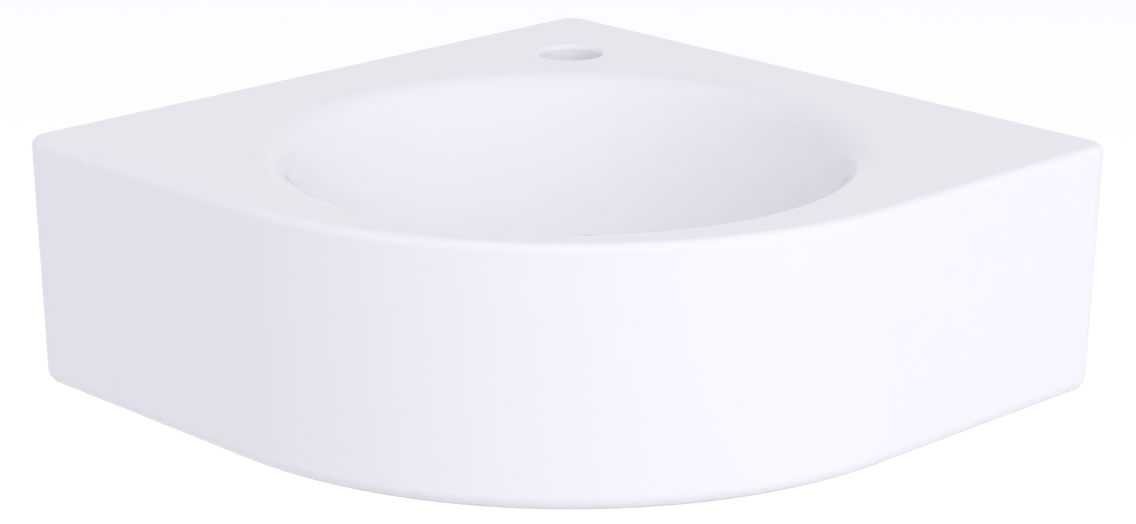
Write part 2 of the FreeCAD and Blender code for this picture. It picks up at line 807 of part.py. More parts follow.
def make_ring(doc, s, label, inner, outer_top, outer_bottom, low, high):
    """A washer or seal round the waste's tube, which may taper downwards."""
    corners = [(inner, low), (outer_bottom, low), (outer_top, high), (inner, high)]
    return on_waste_axis(turned_piece(doc, label, corners), s)


def make_flange_seal(doc, s):
    outer = s.flange_seal_diameter / 2
    inner = s.collar_diameter / 2 + s.tube_gap
    return make_ring(doc, s, "flange_seal", inner, outer, outer, None, s.flange_under)


def make_tail_seal(doc, s):
    top = s.tail_seal_diameter / 2
    bottom = top - s.tail_seal_taper
    return make_ring(doc, s, "tail_seal", s.tube_fit, top, bottom, s.tail_seal_under, s.china_under)


def make_slip_washer(doc, s):
    outer = s.slip_washer_diameter / 2
    low, high = s.slip_washer_under, s.tail_seal_under
    return make_ring(doc, s, "slip_washer", s.tube_fit, outer, outer, low, high)


def make_backnut(doc, s):
    body = make_body(doc, "backnut")
    plan = make_sketch(body, "backnut_plan", "XY_Plane", lift=s.backnut_under)
    draw_hexagon(plan, s.backnut_flats)
    draw_hole_in(plan, s.tube_fit)
    pad(body, plan, "backnut_blank", s.backnut_height)
    bevel_nut(body, "backnut_bevel", s.backnut_flats, s.backnut_under, s.slip_washer_under)
    return on_waste_axis(body, s)


def draw_hole_in(sketch, radius):
    """A circle about the sketch's origin, inside an outline that is already drawn."""
    edge = sketch.addGeometry(Part.Circle(FreeCAD.Vector(), Z_AXIS, radius.value))
    sketch.addConstraint(Sketcher.Constraint("Coincident", edge, 3, -1, 1))
    dimension(sketch, "Radius", (edge,), radius)


# ---------------------------------------------------------------- press-press cartridge


def make_cartridge_housing(doc, s):
    """Sleeve with a roof that stops the plunger; its lower part screws into the crossbar."""
    thread, outer = s.housing_thread / 2, s.housing_diameter / 2
    bore, shaft = s.housing_bore / 2, s.shaft_diameter / 2 + s.running_gap
    corners = [
        (bore, s.housing_under),
        (thread, s.housing_under),
        (thread, s.hub_top),
        (outer, s.hub_top),
        (outer, s.housing_top),
        (shaft, s.housing_top),
        (shaft, s.housing_ceiling),
        (bore, s.housing_ceiling),
    ]
    return on_waste_axis(turned_piece(doc, "cartridge_housing", corners), s)


def make_cartridge_base(doc, s):
    """Plug that closes the sleeve, with the hole that the latch pin stands in."""
    outer = s.housing_bore / 2 - s.thread_gap
    low, high = s.housing_under, s.base_top
    body = turned_piece(
        doc, "cartridge_base", [(None, low), (outer, low), (outer, high), (None, high)]
    )
    hole_plan = make_sketch(body, "latch_hole_plan", "XY_Plane", lift=high)
    draw_circle(hole_plan, s.latch_radius, None, s.latch_wire / 2 + s.thread_gap)
    depth = s.latch_foot + s.thread_gap
    pocket(body, hole_plan, "latch_hole", depth, along_normal=False)
    return on_waste_axis(body, s)


def make_cartridge_plunger(doc, s):
    """Shaft that carries the cap, on a body with the slot that the latch pin rides in."""
    shaft, outer = s.shaft_diameter / 2, s.housing_bore / 2 - s.running_gap
    socket = s.spindle_diameter / 2 + s.thread_gap
    socket_floor = s.cap_boss_under - s.spindle_in_plunger - s.spindle_end_gap
    corners = [
        (None, s.plunger_under),
        (outer, s.plunger_under),
        (outer, s.plunger_top),
        (shaft, s.plunger_top),
        (shaft, s.cap_boss_under),
        (socket, s.cap_boss_under),
        (socket, socket_floor),
        (None, socket_floor),
    ]
    body = turned_piece(doc, "cartridge_plunger", corners)
    slot_plan = make_sketch(body, "latch_slot_plan", "XY_Plane", lift=s.plunger_under)
    half = s.latch_wire / 2 + s.latch_gap
    slot_floor = s.latch_radius - s.latch_reach - s.latch_gap
    slot_mouth = s.housing_bore / 2
    draw_polygon(
        slot_plan,
        [(slot_floor, -half), (slot_mouth, -half), (slot_mouth, half), (slot_floor, half)],
    )
    pocket(body, slot_plan, "latch_slot", s.plunger_length - s.slot_roof)
    return on_waste_axis(body, s)


def make_latch_pin(doc, s):
    """Wire that stands in the base and is bent over into the plunger's slot."""
    body = make_body(doc, "latch_pin")
    foot = s.base_top - s.latch_foot
    top = s.housing_ceiling - s.latch_top_drop
    bend_x, bend_z = s.latch_radius - s.latch_bend, top - s.latch_bend
    tip = s.latch_radius - s.latch_reach

    path = make_sketch(body, "latch_path")
    leg = path.addGeometry(Part.LineSegment(point(s.latch_radius, foot), point(s.latch_radius, bend_z)))
    circle = Part.Circle(point(bend_x, bend_z), Z_AXIS, s.latch_bend.value)
    bend = path.addGeometry(Part.ArcOfCircle(circle, 0, math.pi / 2))
    finger = path.addGeometry(Part.LineSegment(point(bend_x, top), point(tip, top)))
    path.addConstraint(Sketcher.Constraint("Tangent", leg, 2, bend, 1))
    path.addConstraint(Sketcher.Constraint("Tangent", bend, 2, finger, 1))
    path.addConstraint(Sketcher.Constraint("Vertical", leg))
    path.addConstraint(Sketcher.Constraint("Horizontal", finger))
    pin_point(path, leg, 1, s.latch_radius, foot)
    pin_point(path, finger, 2, tip, top)
    dimension(path, "Radius", (bend,), s.latch_bend)

    wire = make_sketch(body, "latch_wire_section", "XY_Plane", lift=foot)
    draw_circle(wire, s.latch_radius, None, s.latch_wire / 2)
    pipe = body.newObject("PartDesign::AdditivePipe", "latch_wire")
    pipe.Profile = wire
    pipe.Spine = (path, ["Edge1", "Edge2", "Edge3"])
    return on_waste_axis(body, s)


def make_cartridge_spring(doc, s):
    """Compression spring between the base and the plunger."""
    low = s.base_top + s.spring_seat_gap + s.spring_wire / 2
    rise = s.plunger_under - s.base_top - s.spring_wire - s.spring_seat_gap * 2
    mean = (s.spring_diameter - s.spring_wire) / 2
    coil = doc.addObject("Part::Helix", "spring_coil")
    tie(coil, "Height", rise)
    tie(coil, "Pitch", rise / s.spring_turns)
    tie(coil, "Radius", mean)
    wire = doc.addObject("Part::Circle", "spring_wire_section")
    wire.Placement = FreeCAD.Placement(FreeCAD.Vector(), FreeCAD.Rotation(X_AXIS, 90))
    tie(wire, "Radius", s.spring_wire / 2)
    place(wire, x=mean)
    spring = doc.addObject("Part::Sweep", "cartridge_spring")
    spring.Sections = [wire]
    spring.Spine = coil
    spring.Solid = True
    spring.Frenet = True
    spring.Label = "cartridge_spring"
    place(spring, y=-s.bowl_centre, z=low - s.seat_depth)
    return spring


# ---------------------------------------------------------------- plug cap


def make_waste_cap(doc, s):
    """Domed disc on a boss whose groove holds the seal."""
    body = make_body(doc, "waste_cap")
    section = make_sketch(body, "waste_cap_section")
    edge, boss = s.cap_diameter / 2, s.cap_boss_diameter / 2
    lip, socket = boss + s.cap_lip, s.spindle_diameter / 2 + s.thread_gap
    socket_roof = s.cap_boss_under + s.spindle_in_cap + s.spindle_end_gap
    crown_top = s.cap_edge_top + s.cap_crown
    dome = (edge * edge + s.cap_crown * s.cap_crown) / (s.cap_crown * 2)
    corners = [
        (edge, s.cap_edge_top),
        (edge, s.cap_under),
        (boss, s.cap_under),
        (boss, s.cap_groove_under),
        (lip, s.cap_groove_under),
        (lip, s.cap_boss_under),
        (socket, s.cap_boss_under),
        (socket, socket_roof),
        (None, socket_roof),
        (None, crown_top),
    ]
    spots = [point(x, y) for x, y in corners]
    for start, end in zip(spots, spots[1:]):
        section.addGeometry(Part.LineSegment(start, end))
    straight = len(spots) - 1
    low_turn = math.asin((dome - s.cap_crown).value / dome.value)
    circle = Part.Circle(FreeCAD.Vector(0, (crown_top - dome).value, 0), Z_AXIS, dome.value)
    arc = section.addGeometry(Part.ArcOfCircle(circle, low_turn, math.pi / 2))
    for line in range(straight - 1):
        section.addConstraint(Sketcher.Constraint("Coincident", line, 2, line + 1, 1))
    section.addConstraint(Sketcher.Constraint("Coincident", arc, 1, 0, 1))
    section.addConstraint(Sketcher.Constraint("Coincident", arc, 2, straight - 1, 2))
    for line, (x, y) in enumerate(corners[:-1]):
        pin_point(section, line, 1, x, y)
    pin_point(section, straight - 1, 2, *corners[-1])
    dimension(section, "Radius", (arc,), dome)
    turned(body, section, "waste_cap_turned")
    return on_waste_axis(body, s)


def make_cap_seal(doc, s):
    """Ring in the cap's groove; closed, it comes down onto the flange's cone."""
    inner = s.cap_boss_diameter / 2
    closed_under = s.cap_groove_under - s.cap_travel
    cone_slope = (s.mouth_diameter - s.tube_bore) / 2 / s.mouth_depth
    cone_radius = s.tube_bore / 2 + (closed_under - s.mouth_floor) * cone_slope
    low_outer = cone_radius - s.cap_seal_gap
    corners = [
        (inner, s.cap_groove_under),
        (low_outer, s.cap_groove_under),
        (low_outer + s.cap_seal_flare, s.cap_under),
        (inner, s.cap_under),
    ]
    return on_waste_axis(turned_piece(doc, "cap_seal", corners), s)


def make_cap_spindle(doc, s):
    """Threaded stud from the cap's boss down into the plunger."""
    outer = s.spindle_diameter / 2
    low = s.cap_boss_under - s.spindle_in_plunger
    high = s.cap_boss_under + s.spindle_in_cap
    corners = [(None, low), (outer, low), (outer, high), (None, high)]
    return on_waste_axis(turned_piece(doc, "cap_spindle", corners), s)


# ---------------------------------------------------------------- wall fixings


def make_pair(doc, s, label, right):
    """Set a fixing on the right wall's stud axis and mirror it onto the left wall."""
    outward = FreeCAD.Vector(1, 1, 0)
    right.Placement = FreeCAD.Placement(FreeCAD.Vector(), FreeCAD.Rotation(Z_AXIS, outward))
    along = s.stud_reach / root(2)
    place(right, x=along, y=-along, z=-s.stud_drop)
    left = doc.addObject("Part::Mirroring", f"{label}_left")
    left.Source = right
    left.Normal = X_AXIS
    pair = doc.addObject("Part::Compound", label)
    pair.Links = [right, left]
    pair.Label = label
    return pair


def make_hanger_studs(doc, s):
    """Machine thread for the nut, plain neck at the wall's face and pointed wood screw."""
    radius, neck, screw = s.stud_diameter / 2, s.stud_neck_diameter / 2, s.screw_diameter / 2
    shoulder = s.stud_embed - s.stud_point
    corners = [
        (None, s.stud_end),
        (radius, s.stud_end),
        (radius, None),
        (neck, None),
        (neck, s.stud_neck),
        (screw, s.stud_neck),
        (screw, shoulder),
        (None, s.stud_embed),
    ]
    return make_pair(doc, s, "hanger_studs", turned_piece(doc, "hanger_stud_right", corners))


def make_stud_sleeves(doc, s):
    inner = s.stud_diameter / 2 + s.stud_gap
    shank = s.fixing_hole / 2 - s.sleeve_gap
    flange = s.sleeve_flange / 2
    corners = [
        (inner, s.sleeve_end),
        (flange, s.sleeve_end),
        (flange, s.boss_face),
        (shank, s.boss_face),
        (shank, -s.sleeve_setback),
        (inner, -s.sleeve_setback),
    ]
    return make_pair(doc, s, "stud_sleeves", turned_piece(doc, "stud_sleeve_right", corners))


def make_stud_washers(doc, s):
    inner, outer = s.stud_diameter / 2 + s.stud_gap, s.washer_diameter / 2
    corners = [
        (inner, s.washer_end),
        (outer, s.washer_end),
        (outer, s.sleeve_end),
        (inner, s.sleeve_end),
    ]
    return make_pair(doc, s, "stud_washers", turned_piece(doc, "stud_washer_right", corners))


def make_stud_nuts(doc, s):
    body = make_body(doc, "stud_nut_right")
    plan = make_sketch(body, "stud_nut_plan", "XY_Plane", lift=s.nut_end)
    draw_hexagon(plan, s.nut_flats)
    draw_hole_in(plan, s.stud_diameter / 2 + s.thread_gap)
    pad(body, plan, "stud_nut_blank", s.nut_height)
    bevel_nut(body, "stud_nut_bevel", s.nut_flats, s.nut_end, s.washer_end)
    return make_pair(doc, s, "stud_nuts", body)


def make_nut_caps(doc, s):
    """Domed covers pressed over the nuts, down to the washers."""
    inner = s.nut_flats / root(3) + s.nut_cap_gap
    outer = inner + s.nut_cap_wall
    ceiling = s.stud_end - s.nut_cap_headroom
    top = ceiling - s.nut_cap_wall
    corners = [
        (None, top),
        (outer, top),
        (outer, s.washer_end),
        (inner, s.washer_end),
        (inner, ceiling),
        (None, ceiling),
    ]
    body = turned_piece(doc, "nut_cap_right", corners)
    edges = found_edges(body.Tip, ring_at(top, outer))
    round_edges(body, body.Tip, edges, s.nut_cap_round, "nut_cap_round")
    return make_pair(doc, s, "nut_caps", body)


# ---------------------------------------------------------------- checks and export

MAKERS = (
    make_basin_body,
    make_waste_body,
    make_flange_seal,
    make_tail_seal,
    make_slip_washer,
    make_backnut,
    make_cartridge_housing,
    make_cartridge_base,
    make_cartridge_plunger,
    make_latch_pin,
    make_cartridge_spring,
    make_waste_cap,
    make_cap_seal,
    make_cap_spindle,
    make_hanger_studs,
    make_stud_sleeves,
    make_stud_washers,
    make_stud_nuts,
    make_nut_caps,
)

CUTTING = ("PartDesign::Pocket", "PartDesign::Groove")


def check_features(doc):
    """Every object is sound, and every cut takes something away."""
    for thing in doc.Objects:
        if {"Invalid", "Error"} & set(thing.State):
            raise RuntimeError(f"{thing.Label} failed: {thing.State}")
        if thing.TypeId in CUTTING:
            before = thing.BaseFeature.Shape.Volume
            if thing.Shape.Volume >= before:
                raise RuntimeError(f"{thing.Label} cuts nothing")


def export_parts(parts):
    os.makedirs("parts", exist_ok=True)
    for part in parts:
        shape = part.Shape
        if shape.isNull() or not shape.isValid() or not shape.Solids:
            raise RuntimeError(f"{part.Label} has no sound solid")
    for part in parts:
        part.Shape.exportStep(f"parts/{part.Label}.step")
        print(part.Label, len(part.Shape.Solids), round(part.Shape.Volume, 1))


def main():
    doc = FreeCAD.newDocument("corner_basin")
    sizes = Sizes(make_sheet(doc))
    parts = [maker(doc, sizes) for maker in MAKERS]
    doc.recompute()
    check_features(doc)
    export_parts(parts)


main()
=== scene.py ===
"""Finish of a wall-hung corner basin: glazed china, chromed waste, plug and wall fixings.

Frame: metres, +Z up, z = 0 on the deck. The origin is the corner of the room at deck
height, the round front points along -Y, and the walls run along (+X, -Y) and (-X, -Y).
"""

from __future__ import annotations

import json
import logging
import math
from collections.abc import Sequence
from dataclasses import dataclass, field
from enum import Enum
from typing import Any

import bpy
import numpy as np
from mathutils import Matrix, Vector

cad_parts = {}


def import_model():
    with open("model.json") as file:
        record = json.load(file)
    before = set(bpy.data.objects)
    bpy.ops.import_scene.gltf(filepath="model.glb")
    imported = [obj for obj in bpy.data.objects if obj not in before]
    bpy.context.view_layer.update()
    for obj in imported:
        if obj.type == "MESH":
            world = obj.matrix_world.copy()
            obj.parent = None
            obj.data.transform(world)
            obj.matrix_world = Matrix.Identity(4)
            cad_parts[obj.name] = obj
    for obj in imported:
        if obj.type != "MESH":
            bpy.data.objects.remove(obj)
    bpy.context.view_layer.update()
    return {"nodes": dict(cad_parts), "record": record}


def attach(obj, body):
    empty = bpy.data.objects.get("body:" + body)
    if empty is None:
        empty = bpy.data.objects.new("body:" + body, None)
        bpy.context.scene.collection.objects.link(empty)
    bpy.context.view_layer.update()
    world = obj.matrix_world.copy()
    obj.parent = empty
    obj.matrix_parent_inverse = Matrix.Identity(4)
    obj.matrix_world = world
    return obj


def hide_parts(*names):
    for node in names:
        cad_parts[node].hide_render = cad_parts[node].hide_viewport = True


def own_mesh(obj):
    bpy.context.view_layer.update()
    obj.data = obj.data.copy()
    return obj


LOG = logging.getLogger("corner_basin")

MM = 0.001
TURN = 2.0 * math.pi
Colour = tuple[float, float, float]
Place = tuple[float, float, float]
Span = tuple[float, float]

WHITE: Colour = (1.0, 1.0, 1.0)
CREASE = math.radians(42.0)  # an edge bent more than this is shown sharp
FOLD = 0.999  # largest cosine taken between a corner's two sides
NO_BISECTOR = 1e-9  # a sum of the two sides' directions shorter than this has no direction
NO_SPOKE = 1e-12  # nor has an arc's spoke shorter than this
SAME_POINT = 1e-7  # neighbouring points nearer than this are one
ROWS_PER_TURN = 10.0  # rows of points in one turn of a thread
WOOD_RIDGE = 0.17  # half width of a wood screw's ridge, in pitches


# ---------------------------------------------------------------- shader expressions


class Wire:
    """A shader socket that takes part in Python expressions.

    Each operator adds one Math node whose inputs are the two sides of the expression.
    """

    def __init__(self, shader: Shader, socket: bpy.types.NodeSocket) -> None:
        """Wrap an output socket of one of the shader's nodes."""
        self.shader = shader
        self.socket = socket

    def _math(self, operation: str, *inputs: Wire | float) -> Wire:
        """Add a Math node of the operation on the inputs."""
        return self.shader.node("ShaderNodeMath", {"operation": operation}, dict(enumerate(inputs)))

    def __add__(self, other: Wire | float) -> Wire:
        """Sum."""
        return self._math("ADD", self, other)

    def __radd__(self, other: float) -> Wire:
        """Sum with a plain number in front."""
        return self._math("ADD", other, self)

    def __sub__(self, other: Wire | float) -> Wire:
        """Difference."""
        return self._math("SUBTRACT", self, other)

    def __rsub__(self, other: float) -> Wire:
        """Difference from a plain number."""
        return self._math("SUBTRACT", other, self)

    def __mul__(self, other: Wire | float) -> Wire:
        """Product."""
        return self._math("MULTIPLY", self, other)

    def absolute(self) -> Wire:
        """Size without its sign."""
        return self._math("ABSOLUTE", self)

    def sine(self) -> Wire:
        """Sine of an angle in radians."""
        return self._math("SINE", self)

    def at_most(self, other: Wire | float) -> Wire:
        """The smaller of two values."""
        return self._math("MINIMUM", self, other)

    def step(self, start: float, end: float) -> Wire:
        """Smooth step from 0 at start to 1 at end; end may be below start.

        Args:
            start: value at which the step is 0.
            end: value at which the step is 1.

        Returns:
            The step, held at 0 and 1 outside the range.
        """
        low, high, bottom, top = (start, end, 0.0, 1.0) if start < end else (end, start, 1.0, 0.0)
        sockets = {"Value": self, "From Min": low, "From Max": high, "To Min": bottom, "To Max": top}
        return self.shader.node("ShaderNodeMapRange", {"interpolation_type": "SMOOTHSTEP"}, sockets)


class Shader:
    """One material or world and the nodes added to it."""

    def __init__(self, owner: bpy.types.Material | bpy.types.World) -> None:
        """Clear the owner's nodes and start with its output node."""
        self.tree = owner.node_tree
        self.tree.nodes.clear()
        kind = "World" if isinstance(owner, bpy.types.World) else "Material"
        self.output = self.tree.nodes.new(f"ShaderNodeOutput{kind}")

    def node(
        self,
        kind: str,
        settings: dict[str, Any] | None = None,
        sockets: dict[str | int, Any] | None = None,
        out: str | int = 0,
    ) -> Wire:
        """Add any node.

        Args:
            kind: the node's type name.
            settings: its properties, set first.
            sockets: values or wires for its inputs, by name or number.
            out: the output that is handed back.

        Returns:
            The chosen output as a wire.
        """
        node = self.tree.nodes.new(kind)
        for name, value in (settings or {}).items():
            setattr(node, name, value)
        for name, value in (sockets or {}).items():
            if isinstance(value, Wire):
                self.tree.links.new(value.socket, node.inputs[name])
            else:
                node.inputs[name].default_value = value
        return Wire(self, node.outputs[out])

    def place(self) -> Wire:
        """Place in the row frame: a finished piece's object sits at the origin."""
        return self.node("ShaderNodeTexCoord", out="Object")

    def axes(self) -> tuple[Wire, Wire, Wire]:
        """The x, y and z of the place."""
        apart = self.node("ShaderNodeSeparateXYZ", sockets={"Vector": self.place()})
        outputs = apart.socket.node.outputs
        return Wire(self, outputs["X"]), Wire(self, outputs["Y"]), Wire(self, outputs["Z"])

    def noise(self, grain: float, detail: float = 2.0, rough: float = 0.5) -> Wire:
        """Noise from 0 to 1 whose grain is the size of one patch, in metres."""
        sockets = {"Vector": self.place(), "Scale": 1.0 / grain, "Detail": detail, "Roughness": rough}
        return self.node("ShaderNodeTexNoise", sockets=sockets)

    def blend(self, factor: Wire | float, first: Wire | Colour, second: Wire | Colour) -> Wire:
        """Colour that goes from first to second as the factor goes from 0 to 1."""
        settings = {"data_type": "RGBA"}
        sockets = {0: factor, 6: self._rgba(first), 7: self._rgba(second)}
        return self.node("ShaderNodeMix", settings, sockets, out=2)

    def bump(self, height: Wire, depth: float) -> Wire:
        """Normal of a surface raised by the height, 0 to 1, times the depth in metres."""
        return self.node("ShaderNodeBump", sockets={"Height": height, "Distance": depth})

    def finish(self, surface: Wire) -> None:
        """Connect the surface to the output."""
        self.tree.links.new(surface.socket, self.output.inputs["Surface"])

    def coat(self, colour: Wire, roughness: Wire, normal: Wire, **others: float) -> None:
        """Finish with a principled shader; others gives more of its sockets by name."""
        sockets = {"Base Color": colour, "Roughness": roughness, "Normal": normal, **others}
        self.finish(self.node("ShaderNodeBsdfPrincipled", sockets=sockets))

    @staticmethod
    def _rgba(value: Wire | Colour) -> Wire | tuple[float, ...]:
        """Give a plain colour its fourth number."""
        return (*value, 1.0) if isinstance(value, tuple) else value


# ---------------------------------------------------------------- finishes


@dataclass(frozen=True)
class Finish:
    """A material of the object, named after the record's slot that it finishes.

    In the finishes a grain is the size of one patch of noise and a depth how far the surface
    is raised, both in metres. An edge is the span of the noise over which a mark fades in, a
    share or a tint is its part in a mix, and a haze is what it adds to the roughness.
    """

    slot: str

    def paint(self, shader: Shader) -> None:
        """Add the finish's nodes."""
        raise NotImplementedError

    def material(self) -> bpy.types.Material:
        """The Blender material, made once for each slot."""
        found = bpy.data.materials.get(f"{self.slot}_finish")
        if found is None:
            found = bpy.data.materials.new(f"{self.slot}_finish")
            found.use_nodes = True
            self.paint(Shader(found))
        return found


@dataclass(frozen=True)
class GlazedChina(Finish):
    """White glaze on vitreous china, left off where the china meets the wall and the kiln shelf."""

    glaze: Colour = (0.838, 0.836, 0.872)
    deep_glaze: Colour = (0.822, 0.824, 0.862)
    clay: Colour = (0.800, 0.775, 0.735)
    speck: Colour = (0.690, 0.655, 0.610)
    gloss: float = 0.07
    gloss_spread: float = 0.03
    gloss_grain: float = 0.045
    bare_roughness: float = 0.86
    wall_margin: float = 0.0014
    foot_level: float = -0.1343
    foot_fade: float = 0.0008
    line_waver: float = 0.0010
    waver_grain: float = 0.012
    cloud_grain: float = 0.11
    speck_grain: float = 0.0011
    speck_edge: Span = (0.64, 0.72)
    speck_share: float = 0.7
    stain_grain: float = 0.018
    ripple: float = 0.00003
    swell_grain: float = 0.024
    swell_share: float = 0.75
    peel_grain: float = 0.0035
    peel_share: float = 0.05
    glaze_lift: float = 2.0
    tooth_grain: float = 0.0009
    tooth_depth: float = 0.00006

    def paint(self, shader: Shader) -> None:
        """Mix bare clay and glaze by the distance from the wall faces and from the foot.

        The distance from the nearer wall face is -(|x| + y) / sqrt 2.
        """
        x, y, z = shader.axes()
        waver = (shader.noise(self.waver_grain, detail=3.0) - 0.5) * self.line_waver
        from_wall = (x.absolute() + y) * (-1.0 / math.sqrt(2.0)) + waver
        over_foot = z + waver * 2.0
        off_wall = from_wall.step(self.wall_margin * 0.5, self.wall_margin)
        off_foot = over_foot.step(self.foot_level, self.foot_level + self.foot_fade)
        glazed = off_wall * off_foot
        bare = 1.0 - glazed

        body = shader.blend(shader.noise(self.cloud_grain), self.deep_glaze, self.glaze)
        specks = shader.noise(self.speck_grain).step(*self.speck_edge)
        stain = shader.noise(self.stain_grain) * (1.0 - self.speck_share)
        clay = shader.blend(specks * self.speck_share + stain, self.clay, self.speck)
        colour = shader.blend(glazed, clay, body)

        sheen = self.gloss + shader.noise(self.gloss_grain) * self.gloss_spread
        roughness = glazed * sheen + bare * self.bare_roughness
        swell = shader.noise(self.swell_grain, detail=1.0) * self.swell_share
        peel = shader.noise(self.peel_grain, detail=1.0) * self.peel_share
        tooth = shader.noise(self.tooth_grain, detail=3.0) * (self.tooth_depth / self.ripple)
        height = glazed * (swell + peel + self.glaze_lift) + bare * tooth
        normal = shader.bump(height, self.ripple)
        shader.coat(colour, roughness, normal, IOR=1.5)


@dataclass(frozen=True)
class ChromePlate(Finish):
    """Bright chrome plate with faint wiping marks and dried drops."""

    metal: Colour = (0.80, 0.81, 0.83)
    worn: Colour = (0.70, 0.71, 0.73)
    gloss: float = 0.055
    wipe_grain: float = 0.0042
    wipe_tint: float = 0.15
    wipe_haze: float = 0.05
    drop_spacing: float = 0.006
    drop_radius: float = 0.16
    drop_edge: float = 0.05
    drop_tint: float = 0.35
    drop_haze: float = 0.12
    patch_grain: float = 0.02
    patch_edge: Span = (0.52, 0.62)
    pore_grain: float = 0.0006
    pore_share: float = 0.4
    depth: float = 0.000004

    def paint(self, shader: Shader) -> None:
        """Lower the gloss along fine wiping marks and in round dried drops."""
        wiped = shader.noise(self.wipe_grain, detail=4.0, rough=0.7)
        cells = {"Vector": shader.place(), "Scale": 1.0 / self.drop_spacing}
        drops = shader.node("ShaderNodeTexVoronoi", sockets=cells, out="Distance")
        patches = shader.noise(self.patch_grain).step(*self.patch_edge)
        ring = (drops - self.drop_radius).absolute().step(self.drop_edge, 0.0) * patches
        colour = shader.blend(ring * self.drop_tint + wiped * self.wipe_tint, self.metal, self.worn)
        roughness = self.gloss + wiped * self.wipe_haze + ring * self.drop_haze
        normal = shader.bump(wiped + shader.noise(self.pore_grain) * self.pore_share, self.depth)
        shader.coat(colour, roughness, normal, Metallic=1.0)


@dataclass(frozen=True)
class TurnedBrass(Finish):
    """Unplated brass with tool marks and a little tarnish."""

    metal: Colour = (0.74, 0.56, 0.28)
    tarnish: Colour = (0.42, 0.29, 0.14)
    mark_pitch: float = 0.00045
    mark_waver: float = 2.0
    waver_grain: float = 0.004
    dull_grain: float = 0.009
    dull_edge: Span = (0.42, 0.72)
    dull_tint: float = 0.7
    gloss: float = 0.26
    dull_haze: float = 0.24
    pit_grain: float = 0.0016
    depth: float = 0.00001

    def paint(self, shader: Shader) -> None:
        """Ring the surface with tool marks at a steady pitch up Z."""
        _, _, z = shader.axes()
        waver = shader.noise(self.waver_grain) * self.mark_waver
        marks = (z * (TURN / self.mark_pitch) + waver).sine()
        dull = shader.noise(self.dull_grain, detail=4.0, rough=0.65).step(*self.dull_edge)
        colour = shader.blend(dull * self.dull_tint, self.metal, self.tarnish)
        roughness = self.gloss + dull * self.dull_haze
        normal = shader.bump(marks * 0.5 + shader.noise(self.pit_grain, detail=3.0), self.depth)
        shader.coat(colour, roughness, normal, Metallic=1.0)


@dataclass(frozen=True)
class MouldedRubber(Finish):
    """Matt black rubber with a pale bloom."""

    rubber: Colour = (0.022, 0.022, 0.023)
    bloom: Colour = (0.075, 0.074, 0.072)
    cloud_grain: float = 0.010
    cloud_edge: Span = (0.40, 0.75)
    gloss: float = 0.62
    cloud_haze: float = 0.2
    skin_grain: float = 0.0005
    depth: float = 0.00002

    def paint(self, shader: Shader) -> None:
        """Cloud the rubber with bloom and give it a fine moulded grain."""
        cloud = shader.noise(self.cloud_grain, detail=4.0, rough=0.6).step(*self.cloud_edge)
        colour = shader.blend(cloud, self.rubber, self.bloom)
        normal = shader.bump(shader.noise(self.skin_grain, detail=3.0), self.depth)
        roughness = self.gloss + cloud * self.cloud_haze
        shader.coat(colour, roughness, normal, IOR=1.5)


@dataclass(frozen=True)
class MouldedNylon(Finish):
    """Natural white nylon with a satin moulded skin."""

    nylon: Colour = (0.79, 0.78, 0.74)
    shade: Colour = (0.71, 0.70, 0.655)
    cloud_grain: float = 0.014
    skin_grain: float = 0.00035
    gloss: float = 0.36
    skin_haze: float = 0.14
    sink_grain: float = 0.004
    sink_share: float = 0.6
    depth: float = 0.000015

    def paint(self, shader: Shader) -> None:
        """Cloud the nylon slightly and give its skin a fine spark-eroded grain."""
        cloud = shader.noise(self.cloud_grain, detail=3.0)
        colour = shader.blend(cloud, self.nylon, self.shade)
        skin = shader.noise(self.skin_grain)
        roughness = self.gloss + skin * self.skin_haze
        normal = shader.bump(skin + shader.noise(self.sink_grain) * self.sink_share, self.depth)
        shader.coat(colour, roughness, normal, IOR=1.53)


@dataclass(frozen=True)
class ZincPlate(Finish):
    """Bright zinc on steel, blue-grey with faint straw blotches."""

    zinc: Colour = (0.60, 0.62, 0.65)
    straw: Colour = (0.62, 0.58, 0.49)
    dull: Colour = (0.43, 0.44, 0.46)
    tint_grain: float = 0.008
    tint_edge: Span = (0.45, 0.75)
    tint_share: float = 0.6
    tint_haze: float = 0.06
    worn_grain: float = 0.0025
    worn_edge: Span = (0.50, 0.80)
    worn_haze: float = 0.22
    gloss: float = 0.24
    skin_grain: float = 0.0011
    depth: float = 0.000015

    def paint(self, shader: Shader) -> None:
        """Blotch the plate with its passivation's tints."""
        tint = shader.noise(self.tint_grain, detail=3.0).step(*self.tint_edge)
        worn = shader.noise(self.worn_grain, detail=4.0, rough=0.7).step(*self.worn_edge)
        plate = shader.blend(tint * self.tint_share, self.zinc, self.straw)
        colour = shader.blend(worn, plate, self.dull)
        roughness = self.gloss + worn * self.worn_haze + tint * self.tint_haze
        normal = shader.bump(shader.noise(self.skin_grain, detail=4.0, rough=0.6), self.depth)
        shader.coat(colour, roughness, normal, Metallic=1.0)


@dataclass(frozen=True)
class DrawnSteel(Finish):
    """Stainless spring wire with fine drawing marks."""

    steel: Colour = (0.56, 0.57, 0.59)
    shade: Colour = (0.40, 0.40, 0.41)
    mark_grain: float = 0.0005
    gloss: float = 0.2
    mark_haze: float = 0.2
    depth: float = 0.000005

    def paint(self, shader: Shader) -> None:
        """Streak the wire with fine marks."""
        marks = shader.noise(self.mark_grain, detail=4.0, rough=0.7)
        colour = shader.blend(marks, self.steel, self.shade)
        roughness = self.gloss + marks * self.mark_haze
        normal = shader.bump(marks, self.depth)
        shader.coat(colour, roughness, normal, Metallic=1.0)


